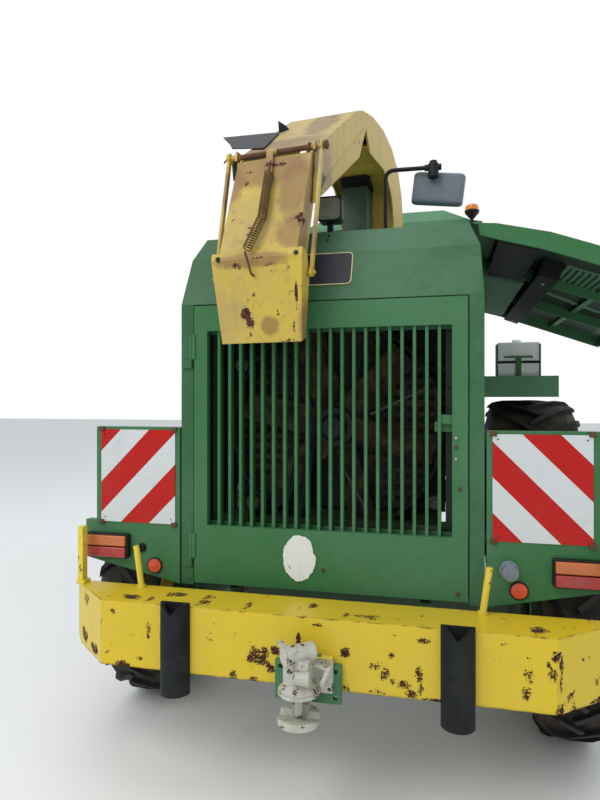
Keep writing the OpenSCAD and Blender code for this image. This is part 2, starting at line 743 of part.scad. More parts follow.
// Place of the slanted windscreen at a height, and side outline of the cab grown inward by t
function screen_w(v) = cab_front - 250 + (v - 1860) * 250 / (eaves_v - 1860);

module cab_side(t, top)
    polygon([[cab_back + t, 1700 + t], [cab_front - 330 - t, 1700 + t],
        [screen_w(1860) - t, 1860], [screen_w(top) - t, top], [cab_back + t, top]]);

// Outlines of the right window, the screen's opening and the door, grown by g
module window_side()
    polygon([[cab_back + 120, 2150], [screen_w(2150) - 90, 2150],
        [screen_w(eaves_v - 60) - 90, eaves_v - 60], [cab_back + 120, eaves_v - 60]]);

module screen_slot(w0, w1)
    polygon([[screen_w(1900) + w0, 1900], [screen_w(1900) + w1, 1900],
        [screen_w(eaves_v - 60) + w1, eaves_v - 60], [screen_w(eaves_v - 60) + w0, eaves_v - 60]]);

module door_side(g)
    polygon([[cab_back + 626 - g, 1796 - g], [cab_front - 380 + g, 1796 - g],
        [cab_front - 98 + g, eaves_v - 66 + g], [cab_back + 626 - g, eaves_v - 66 + g]]);

module door_window()
    polygon([[cab_back + 690, 1900], [cab_front - 426, 1900], [cab_front - 184, eaves_v - 130],
        [cab_back + 690, eaves_v - 130]]);

// Cab: floor, rear wall, low side walls and pillars
module cab_shell() color(green) machine() {
    h = cab_half;
    difference() {
        side_plate(-h, h) cab_side(0, eaves_v);
        side_plate(-h + 40, h - 40) cab_side(40, eaves_v + 50);
        block(-h + 90, h - 90, cab_back - 20, cab_back + 60, 2150, eaves_v - 70);
        side_plate(-h + 60, h - 60) screen_slot(-70, 50);
        side_plate(h - 60, h + 20) window_side();
        side_plate(-h - 20, -h + 60) door_side(6);
        block(-h - 20, -h + 60, cab_back + 120, cab_back + 540, 2150, eaves_v - 60);
    }
    for (v = cab_hinges) {
        bar_v(-h - 12, cab_back + 618, v - 40, v - 0.3, 20);
        block(-h - 16, -h, cab_back + 600, cab_back + 618, v - 38, v - 2);
    }
}

// Roof with slopes on all sides
module cab_roof() color(green) machine()
    difference() {
        intersection() {
            rear_plate(cab_back - 90, cab_front + 190)
                polygon([[-800, eaves_v], [-800, eaves_v + 12], [-700, eaves_v + 30], [-490, roof_top],
                    [490, roof_top], [700, eaves_v + 30], [800, eaves_v + 12], [800, eaves_v]]);
            side_plate(-810, 810)
                polygon([[cab_back - 80, eaves_v], [cab_back - 80, eaves_v + 40],
                    [cab_back - 20, roof_top], [cab_front + 20, roof_top],
                    [cab_front + 150, roof_top - 60], [cab_front + 180, eaves_v + 20],
                    [cab_front + 180, eaves_v]]);
        }
        block(-580, 580, cab_back + 40, cab_front - 60, eaves_v - 10, roof_top - 76);
    }

// Fixed panes of the cab
module cab_glass() color(glass) machine() {
    h = cab_half;
    block(-h + 90, h - 90, cab_back + 10, cab_back + 16, 2150, eaves_v - 70);
    side_plate(-h + 60, h - 60) screen_slot(-16, -10);
    side_plate(h - 14, h - 8) window_side();
    block(-h + 8, -h + 14, cab_back + 120, cab_back + 540, 2150, eaves_v - 60);
}

// Door on the left with its frame, hung at the rear edge
module cab_door() color(green) machine() {
    difference() {
        side_plate(-cab_half, -cab_half + 36) door_side(0);
        side_plate(-cab_half - 20, -cab_half + 60) door_window();
        block(-cab_half + 10, -cab_half + 60, cab_back + 690, cab_front - 450, 1830, 1870);
    }
    for (v = cab_hinges) {
        bar_v(-cab_half - 12, cab_back + 618, v, v + 60, 20);
        block(-cab_half - 16, -cab_half - 1, cab_back + 618, cab_back + 650, v + 4, v + 56);
        block(-cab_half - 1, -cab_half + 2, cab_back + 626, cab_back + 650, v + 4, v + 56);
    }
    block(-cab_half - 30, -cab_half, cab_front - 316, cab_front - 290, 2290, 2390);
}

module door_glass() color(glass) machine()
    side_plate(-cab_half + 12, -cab_half + 18) door_window();

// Seat with its base, steering column with wheel, and a side console
module cab_interior() color(black) machine() {
    block(-160, 160, 3140, 3460, floor_v, 2020);
    block(-240, 240, 3080, 3580, 2020, 2120);
    translate([0, 3100, 2110]) rotate([8, 0, 0]) translate([-230, -50, 0]) cube([460, 90, 620]);
    block(-60, 60, 3790, 3870, floor_v, 2100);
    translate([0, 3830, 2080]) rotate([25, 0, 0]) {
        cylinder(h = 260, d = 50, $fn = 40);
        translate([0, 0, 250]) difference() {
            cylinder(h = 24, d = 400, $fn = 80);
            translate([0, 0, -5]) cylinder(h = 40, d = 350, $fn = 80);
        }
        translate([-185, -16, 252]) cube([370, 32, 14]);
    }
    block(330, 600, 3200, 3850, floor_v, 2220);
}

// Decks over the drive tyres with rails, and the ladder on the left
module platforms() color(green) machine() {
    rail_w = deck_back + 40;
    step_w = drive_w + 920;
    both() {
        block(790, deck_out, deck_back, deck_front, 1744, 1784);
        block(790, deck_out, deck_back, deck_back + 16, 1623, 1744);
        block(770, 800, deck_back + 20, deck_front + 20, 1660, 1784);
    }
    block(-deck_out, -790, deck_front, step_w + 310, 1744, 1784);
    for (w = [step_w - 10, step_w + 264]) block(-deck_out + 6, -1000, w, w + 26, 520, 1746);
    for (i = [0 : step_count - 1])
        block(-deck_out + 6, -1000, step_w, step_w + 280, 540 + i * 300, 566 + i * 300);
    for (w = [rail_w, rail_w + 500]) bar_v(-deck_out + 22, w, 1784, 2700, 32);
    bar_w(-deck_out + 22, rail_w - 16, rail_w + 516, 2700, 32);
    bar_w(-deck_out + 22, rail_w - 16, rail_w + 516, 2260, 26);
    bar_v(-deck_out + 22, step_w + 290, 1784, 2600, 32);
}

// White tank on the right deck with its strap
module white_tank() color(white) machine() {
    block(905, 1205, deck_back + 60, deck_back + 320, 1784, 2046);
    bar_v(1055, deck_back + 190, 2046, 2075, 70);
}

// Mirror on a bent tube on the hood, and one beside the cab
module mirrors() color(black) machine() {
    bar_v(165, 1000, hood_top, 2925, 24);
    bar_u(153, 330, 1000, hood_top + 12, 24);
    bar_u(165, 560, 1000, 2925, 24);
    translate([165, 1000, 2925]) sphere(d = 24, $fn = 40);
    block(405, 465, 975, 1025, 2860, 2950);
    translate([485, 985, 2812]) rotate([0, 7, 0]) translate([-148, -30, -78]) cube([296, 60, 156]);
    bar_u(-1540, -780, cab_front - 98, eaves_v - 350, 26);
    block(-1615, -1435, cab_front - 128, cab_front - 88, eaves_v - 610, eaves_v - 290);
    block(-800, -cab_half, cab_front - 116, cab_front - 80, eaves_v - 370, eaves_v - 330);
}

chassis();
engine();
radiator();
fan();
hood();
rear_door();
cover_left();
cover_right();
rear_panels();
warning_boards();
lamps();
bumper();
bumper_guards();
buffers();
hitch_plate();
hitch_coupling();
rear_axle();
knuckle_left();
knuckle_right();
steer_rim_left();
steer_rim_right();
steer_tyre_left();
steer_tyre_right();
front_axle();
drive_rim_left();
drive_rim_right();
drive_tyre_left();
drive_tyre_right();
crop_housing();
feed_roll_upper();
feed_roll_lower();
turret();
spout();
flap_upper();
flap_lower();
flap_links();
cab_shell();
cab_roof();
cab_glass();
cab_door();
door_glass();
cab_interior();
platforms();
white_tank();
mirrors();
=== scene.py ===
"""Looks of a self-propelled forage harvester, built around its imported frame.

Every length is in metres in the frame's own axes: X to the machine's right, Y forward, Z up.
"""

import logging
import math
from collections.abc import Callable
from dataclasses import dataclass
from enum import Enum

import bmesh
import bpy
import numpy as np
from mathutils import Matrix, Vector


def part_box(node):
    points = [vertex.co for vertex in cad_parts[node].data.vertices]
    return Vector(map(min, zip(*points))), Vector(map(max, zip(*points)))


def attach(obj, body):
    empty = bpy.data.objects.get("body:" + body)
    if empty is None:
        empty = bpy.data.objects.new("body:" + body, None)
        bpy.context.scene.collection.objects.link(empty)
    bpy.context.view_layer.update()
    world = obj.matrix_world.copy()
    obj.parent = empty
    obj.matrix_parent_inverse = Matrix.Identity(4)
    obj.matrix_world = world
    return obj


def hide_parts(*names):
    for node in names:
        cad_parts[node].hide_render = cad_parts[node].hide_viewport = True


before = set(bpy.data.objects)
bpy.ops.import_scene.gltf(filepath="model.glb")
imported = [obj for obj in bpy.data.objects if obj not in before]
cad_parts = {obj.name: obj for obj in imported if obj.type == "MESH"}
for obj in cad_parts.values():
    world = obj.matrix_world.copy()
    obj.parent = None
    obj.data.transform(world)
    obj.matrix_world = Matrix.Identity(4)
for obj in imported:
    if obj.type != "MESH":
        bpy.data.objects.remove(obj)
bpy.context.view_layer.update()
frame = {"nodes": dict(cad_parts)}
LOG = logging.getLogger("harvester")
HOOD_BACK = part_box("rear_panels")[0].y
DOOR_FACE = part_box("rear_door")[0].y + 0.006
FULL_TURN = 2 * math.pi
MERGE_DISTANCE = 1e-6
BEVEL_LIMIT = math.radians(40.0)
BACKWARD = (0.0, -1.0, 0.0)
FORWARD = (0.0, 1.0, 0.0)
UPWARD = (0.0, 0.0, 1.0)
Colour = tuple[float, float, float, float]
Point = tuple[float, float, float]


def srgb(red: int, green: int, blue: int) -> Colour:
    """Linear colour of a displayed one from 0 to 255: the usual curve with a straight foot."""
    parts = np.array([red, green, blue]) / 255.0
    linear = np.where(parts <= 0.04045, parts / 12.92, ((parts + 0.055) / 1.055) ** 2.4)
    return (*linear.tolist(), 1.0)


def place(u: float, w: float, v: float) -> np.ndarray:
    """A point u to the right, w ahead of the hood's rear face and v above the ground."""
    return np.array([u, HOOD_BACK + w, v])


def places(*corners: Point) -> np.ndarray:
    """Several places as rows."""
    return np.array([place(*corner) for corner in corners])


def maths(operation: str) -> Callable[..., "Value"]:
    """A method of Value.

    Args:
        operation: what its Math node works out.

    Returns:
        A method that takes the other values of the node and hands back its result.
    """

    def method(value: "Value", *others: "Value | float") -> "Value":
        """One Math node on this value and the others."""
        return value.graph.node("ShaderNodeMath", {"operation": operation}, dict(enumerate((value, *others))))

    return method


class Value:
    """A socket of a shader, on which sums are written as in Python."""

    def __init__(self, graph: "Graph", socket: bpy.types.NodeSocket | None) -> None:
        """Keeps the graph and the socket that carries the number or vector."""
        self.graph = graph
        self.socket = socket

    __add__ = __radd__ = maths("ADD")
    __mul__ = __rmul__ = maths("MULTIPLY")
    __sub__ = maths("SUBTRACT")
    __truediv__ = maths("DIVIDE")
    floor = maths("FLOOR")
    sine = maths("SINE")
    root = maths("SQRT")
    highest = maths("MAXIMUM")
    remainder = maths("FLOORED_MODULO")

    def __rsub__(self, other: float) -> "Value":
        """Difference with this value taken away."""
        return self * -1.0 + other

    def rise(self, low: float, high: float) -> "Value":
        """0 below low, 1 above high and a smooth step between."""
        return self.graph.node(
            "ShaderNodeMapRange",
            {"interpolation_type": "SMOOTHSTEP"},
            {"Value": self, "From Min": low, "From Max": high},
        )


class Graph:
    """The node tree of one material or of the world."""

    def __init__(self, owner: bpy.types.Material | bpy.types.World) -> None:
        """Empties the tree of its owner."""
        self.owner = owner
        owner.use_nodes = True
        self.tree = owner.node_tree
        self.tree.nodes.clear()

    def node(self, kind: str, settings: dict, sockets: dict, output: int | str = 0) -> Value:
        """Adds a node.

        Args:
            kind: Blender's type name of the node.
            settings: its own settings, set first.
            sockets: values or links of its input sockets, by name or number.
            output: which output to hand back.

        Returns:
            The output as a value.
        """
        made = self.tree.nodes.new(kind)
        for key, setting in settings.items():
            setattr(made, key, setting)
        for key, value in sockets.items():
            if isinstance(value, Value):
                self.tree.links.new(value.socket, made.inputs[key])
            else:
                made.inputs[key].default_value = value
        return Value(self, made.outputs[output] if len(made.outputs) else None)

    def position(self) -> Value:
        """Object coordinates, which are metres in the machine's frame."""
        return self.node("ShaderNodeTexCoord", {}, {}, "Object")

    def part(self, vector: Value, axis: int) -> Value:
        """One coordinate of a vector."""
        return self.node("ShaderNodeSeparateXYZ", {}, {0: vector}, axis)

    def stretched(self, vector: Value, factors: Point) -> Value:
        """A vector times a factor for each axis."""
        return self.node(
            "ShaderNodeVectorMath", {"operation": "MULTIPLY"}, {0: vector, 1: factors}
        )

    def noise(self, vector: Value, scale: float, detail: float = 3.0, rough: float = 0.55) -> Value:
        """Cloudy noise around one half, with scale waves a metre."""
        sockets = {"Vector": vector, "Scale": scale, "Detail": detail, "Roughness": rough}
        return self.node("ShaderNodeTexNoise", {}, sockets)

    def mix(self, factor: Value | float, first: Value | Colour, second: Value | Colour) -> Value:
        """Colour between two, with more of the second as the factor grows."""
        return self.node("ShaderNodeMix", {"data_type": "RGBA"}, {0: factor, 6: first, 7: second}, 2)

    def near(self, vector: Value, spot: "Spot") -> Value:
        """1 in the middle of a spot, falling to 0 on its ellipsoid."""
        offset = self.node("ShaderNodeVectorMath", {"operation": "SUBTRACT"}, {0: vector, 1: spot.centre})
        scaled = self.node("ShaderNodeVectorMath", {"operation": "DIVIDE"}, {0: offset, 1: spot.reach})
        length = self.node("ShaderNodeVectorMath", {"operation": "LENGTH"}, {0: scaled}, "Value")
        return (1.0 - length).highest(0.0)

    def upward(self) -> Value:
        """Height of the surface's normal: 1 on a level top, 0 on a wall."""
        return self.part(self.node("ShaderNodeNewGeometry", {}, {}, "Normal"), 2)

    def rounded_edges(self, radius: float) -> Value:
        """Normal of the surface as if its edges had a small radius."""
        return self.node("ShaderNodeBevel", {"samples": 4}, {"Radius": radius})

    def edge(self, rounded: Value) -> Value:
        """0 on the flat and up to about 0.3 on an edge: one less the normals' dot product."""
        flat = self.node("ShaderNodeNewGeometry", {}, {}, "Normal")
        dot = self.node(
            "ShaderNodeVectorMath", {"operation": "DOT_PRODUCT"}, {0: rounded, 1: flat}, "Value"
        )
        return 1.0 - dot

    def bump(self, height: Value, distance: float, normal: Value | None = None) -> Value:
        """Normal bent by a height from 0 to 1 that stands for a distance."""
        sockets = {"Strength": 1.0, "Distance": distance, "Height": height}
        if normal is not None:
            sockets["Normal"] = normal
        return self.node("ShaderNodeBump", {}, sockets)

    def finish(self, sockets: dict) -> bpy.types.Material:
        """Ends the tree in a Principled shader with these sockets and hands back the material."""
        shader = self.node("ShaderNodeBsdfPrincipled", {}, sockets)
        self.node("ShaderNodeOutputMaterial", {}, {"Surface": shader})
        return self.owner


@dataclass(frozen=True)
class Finish:
    """The look of a surface. Each kind of finish works out its own shader sockets."""

    name: str

    def build(self) -> bpy.types.Material:
        """The material of this finish."""
        g = Graph(bpy.data.materials.new(self.name))
        return g.finish(self.sockets(g, g.position()))

    def sockets(self, g: Graph, p: Value) -> dict:
        """Sockets of the shader.

        Args:
            g: the material's graph.
            p: the place on the machine.

        Returns:
            Values by socket name.
        """
        raise NotImplementedError


@dataclass(frozen=True)
class Spot:
    """A worn place on the paint: its centre and its reach along each axis."""

    centre: Point
    reach: Point


def spots(
    depth: float, through: float, grow: float, *marks: tuple[float, float, float, float]
) -> tuple[Spot, ...]:
    """Spots on an upright face.

    Args:
        depth: how far ahead of the hood's rear the face lies.
        through: half reach through the sheet.
        grow: factor on the half width and half height, since a spot fades towards its rim.
        marks: across, up, half width and half height of each.

    Returns:
        The spots.
    """
    return tuple(
        Spot(tuple(place(u, depth, v).tolist()), (half_u * grow, through, half_v * grow))
        for u, v, half_u, half_v in marks
    )


def smears(*marks: tuple[float, ...]) -> tuple[Spot, ...]:
    """Stained places: u, w and v of each middle, then the reach along the same axes."""
    return tuple(Spot(tuple(place(*mark[:3]).tolist()), mark[3:]) for mark in marks)


@dataclass(frozen=True)
class Paint(Finish):
    """Weathered paint on sheet or plate: fading, painted light on upward faces, streaks, dirt, chips and rust.
    """

    colour: Colour
    faded_and_lit: Colour
    dirt: Colour = srgb(92, 84, 66)
    fade: float = 0.5
    streaks: float = 0.3
    chips: float = 0.62
    chip_scale: float = 9.0
    edge_wear: float = 0.5
    stain: Colour = srgb(112, 78, 44)
    stain_spread: float = 0.02
    stain_share: float = 0.5
    rust_dark: Colour = srgb(52, 32, 26)
    rust_light: Colour = srgb(118, 68, 40)
    rough: float = 0.42
    coat: float = 0.08
    edge_radius: float = 0.003
    wide: float = 1.3
    lit_top: float = 0.25
    spots: tuple[Spot, ...] = ()
    spot_strength: float = 0.30
    smears: tuple[Spot, ...] = ()

    def sockets(self, g: Graph, p: Value) -> dict:
        """Faded paint, lighter on upward faces as painted light from above, then streaks of dirt, then stains,
        then bare rusty chips.
        """
        broad = g.noise(p, self.wide, 4.0)
        mottle = g.noise(p, 26.0, 4.0, 0.65)
        # Upward faces are painted lighter: painted light from above, on top of the random fading.
        fade_and_lit_top = (broad + mottle * 0.3).rise(0.5, 0.82) * self.fade + g.upward().rise(0.5, 0.95) * self.lit_top
        paint = g.mix(fade_and_lit_top, self.colour, self.faded_and_lit)
        run = g.noise(g.stretched(p, (16.0, 16.0, 0.9)), 1.0, 5.0, 0.7)
        dust = g.noise(p, 3.4, 6.0, 0.7)
        soil = (run.rise(0.5, 0.74) * 0.6 + dust.rise(0.52, 0.8) * 0.5) * self.streaks
        paint = g.mix(soil, paint, self.dirt)
        for spot in self.smears:
            cloud = (g.near(p, spot) + mottle * 0.5 - 0.2).rise(0.08, 0.5) * 0.72
            paint = g.mix(cloud, paint, self.stain)
        rounded = g.rounded_edges(self.edge_radius)
        wear = g.edge(rounded) * self.edge_wear
        ragged = g.noise(p, self.chip_scale, 2.0) * 0.62 + g.noise(
            p, self.chip_scale * 5.0, 4.0, 0.7
        ) * 0.38
        level = ragged + wear * g.noise(p, 22.0, 3.0).rise(0.42, 0.6)
        for number, spot in enumerate(self.spots):
            worn = g.near(p, spot) if number == 0 else worn.highest(g.near(p, spot))
        if self.spots:
            grain = g.noise(p, 130.0, 3.0, 0.7).rise(0.38, 0.6)
            level = level + worn * (grain * 0.85 + 0.4) * self.spot_strength
        bare = level.rise(self.chips, self.chips + 0.012)
        halo = level.rise(self.chips - self.stain_spread, self.chips) * self.stain_share
        rust = g.mix(g.noise(p, 90.0, 5.0, 0.7).rise(0.4, 0.62), self.rust_dark, self.rust_light)
        colour = g.mix(bare, g.mix(halo, paint, self.stain), rust)
        rough = (soil * 0.35 + self.rough + mottle * 0.08) * (1.0 - bare) + bare * 0.88
        height = (1.0 - bare) * 0.8 + g.noise(p, 9.0, 2.0) * 0.9 + g.noise(p, 160.0, 2.0) * 0.08
        return {
            "Base Color": colour,
            "Roughness": rough,
            "Coat Weight": (1.0 - bare) * self.coat,
            "Coat Roughness": 0.2,
            "Specular IOR Level": 0.3,
            "Normal": g.bump(height, 0.0012, rounded),
        }


@dataclass(frozen=True)
class Rubber(Finish):
    """Black rubber or plastic with grey dust and a fine grain."""

    colour: Colour = srgb(36, 38, 38)
    dust: Colour = srgb(96, 92, 82)
    dusty: float = 0.35
    rough: float = 0.62
    grain: float = 240.0

    def sockets(self, g: Graph, p: Value) -> dict:
        """Dark base with clouds of dust and scuffs."""
        cloud = g.noise(p, 7.0, 6.0, 0.7).rise(0.42, 0.75) * self.dusty
        scuff = g.noise(g.stretched(p, (60.0, 60.0, 9.0)), 1.0, 3.0).rise(0.6, 0.7) * 0.25
        colour = g.mix(cloud + scuff * self.dusty, self.colour, self.dust)
        grain = g.noise(p, self.grain, 3.0)
        return {
            "Base Color": colour,
            "Roughness": cloud * 0.25 + self.rough,
            "Specular IOR Level": 0.22,
            "Normal": g.bump(grain + cloud, 0.0006, g.rounded_edges(0.003)),
        }


@dataclass(frozen=True)
class Tread(Finish):
    """Tyre rubber: soil low between the lugs and rings on the side walls."""

    axle: tuple[float, float]
    radius: float
    rim: float

    def sockets(self, g: Graph, p: Value) -> dict:
        """The distance from the axle sets where soil lies and where the rings run."""
        back, up = g.part(p, 1) - self.axle[0], g.part(p, 2) - self.axle[1]
        reach = (back * back + up * up).root()
        patch = g.noise(p, 8.0, 6.0, 0.7)
        low = (1.0 - reach.rise(self.radius - 0.06, self.radius - 0.012)) * reach.rise(
            self.radius - 0.16, self.radius - 0.07
        )
        soil = (low * 0.75 + patch.rise(0.45, 0.75) * 0.35) * patch.rise(0.25, 0.6)
        worn = reach.rise(self.radius - 0.008, self.radius) * 0.35
        colour = g.mix(soil, srgb(24, 26, 28), srgb(92, 82, 66))
        colour = g.mix(worn, colour, srgb(84, 82, 78))
        rings = ((reach - self.rim) * 260.0).sine().rise(0.3, 0.9)
        side = (1.0 - reach.rise(self.radius - 0.17, self.radius - 0.15)) * rings
        return {
            "Base Color": colour,
            "Roughness": soil * 0.2 + 0.66,
            "Specular IOR Level": 0.2,
            "Normal": g.bump(side + g.noise(p, 180.0, 3.0) * 0.4, 0.0016, g.rounded_edges(0.004)),
        }


@dataclass(frozen=True)
class Metal(Finish):
    """Bare or cast metal with stains."""

    colour: Colour
    stain: Colour = srgb(92, 60, 40)
    stained: float = 0.5
    metallic: float = 0.8
    rough: float = 0.42

    def sockets(self, g: Graph, p: Value) -> dict:
        """Metal under patches of stain that take its shine."""
        patch = (g.noise(p, 18.0, 6.0, 0.7) + g.noise(p, 4.0, 2.0) * 0.4).rise(0.6, 0.86) * self.stained
        return {
            "Base Color": g.mix(patch, self.colour, self.stain),
            "Metallic": (1.0 - patch) * self.metallic,
            "Roughness": patch * 0.4 + self.rough,
            "Normal": g.bump(g.noise(p, 120.0, 4.0), 0.0007, g.rounded_edges(0.002)),
        }


@dataclass(frozen=True)
class Lens(Finish):
    """Ribbed lamp lens of clear coloured plastic."""

    colour: Colour
    ribs: float = 700.0
    rough: float = 0.14

    def sockets(self, g: Graph, p: Value) -> dict:
        """Glossy colour with upright ribs and a little dust."""
        ribs = (g.part(p, 0) * self.ribs).sine() * 0.5 + (g.part(p, 2) * self.ribs).sine() * 0.3
        dust = g.noise(p, 20.0, 5.0, 0.7).rise(0.45, 0.8) * 0.3
        shade = g.noise(p, 11.0, 2.0).rise(0.3, 0.7) * 0.35
        deep = tuple(part * 0.45 for part in self.colour[:3]) + (1.0,)
        return {
            "Base Color": g.mix(dust, g.mix(shade, self.colour, deep), srgb(120, 104, 84)),
            "Roughness": dust * 0.6 + self.rough,
            "Coat Weight": 0.6,
            "Coat Roughness": 0.06,
            "Normal": g.bump(ribs, 0.0008),
        }


@dataclass(frozen=True)
class Glass(Finish):
    """Thin window glass with a light film of dust."""

    clear: float = 0.22

    def sockets(self, g: Graph, p: Value) -> dict:
        """Mostly clear, more filled where dust has gathered."""
        film = g.noise(p, 3.0, 5.0, 0.7).rise(0.4, 0.85)
        return {
            "Base Color": g.mix(film * 0.6, srgb(96, 116, 116), srgb(168, 170, 160)),
            "Roughness": film * 0.2 + 0.05,
            "Alpha": film * 0.1 + self.clear,
        }


@dataclass(frozen=True)
class Stripes(Finish):
    """Warning board: red and white stripes at 45 degrees under scuffs and dirt."""

    right: float
    top: float
    width: float = 0.141
    first_left: float = 0.100
    first_right: float = -0.029
    red: Colour = srgb(180, 16, 12)
    white: Colour = srgb(204, 208, 208)

    def sockets(self, g: Graph, p: Value) -> dict:
        """The stripe's number is the whole part of the way across and down over its width."""
        u, v = g.part(p, 0), g.part(p, 2)
        left_way = (u + self.right) - (v - self.top) - self.first_left
        right_way = (u - self.right + 0.368) + (v - self.top) - self.first_right
        on_right = u.rise(-0.01, 0.01)
        way = left_way * (1.0 - on_right) + right_way * on_right
        white = 1.0 - (way / self.width).floor().remainder(2.0)
        colour = g.mix(white, self.red, self.white)
        dirt = g.noise(p, 5.0, 7.0, 0.75).rise(0.5, 0.85) * 0.3
        nick = (g.noise(p, 34.0, 5.0, 0.75)).rise(0.695, 0.71)
        colour = g.mix(nick, g.mix(dirt, colour, srgb(120, 110, 92)), srgb(86, 62, 48))
        return {
            "Base Color": colour,
            "Roughness": dirt * 0.6 + 0.34,
            "Specular IOR Level": 0.3,
            "Normal": g.bump(1.0 - nick + g.noise(p, 30.0, 2.0) * 0.3, 0.0004),
        }


@dataclass(frozen=True)
class CoolerCore(Finish):
    """Dusty cooler core: rows of holes painted dark as shade, with plant waste on them."""

    def sockets(self, g: Graph, p: Value) -> dict:
        """A grid of holes painted near-black as painted shade, partly covered by brown waste."""
        across = (g.part(p, 0) * 118.0).sine().rise(-0.1, 0.5)
        up = (g.part(p, 2) * 118.0).sine().rise(-0.1, 0.5)
        waste = g.noise(p, 2.6, 5.0, 0.7).rise(0.42, 0.62)
        fine = g.noise(p, 70.0, 5.0, 0.7)
        leaf = g.mix(fine.rise(0.35, 0.65), srgb(44, 34, 30), srgb(98, 78, 60))
        # The near-black in the holes is painted shade.
        metal = g.mix(across * up, srgb(30, 31, 34), srgb(9, 10, 13))
        return {
            "Base Color": g.mix(waste * (1.0 - across * up * 0.85), metal, leaf),
            "Roughness": waste * 0.2 + 0.7,
            "Normal": g.bump(fine * waste - across * up, 0.004),
        }


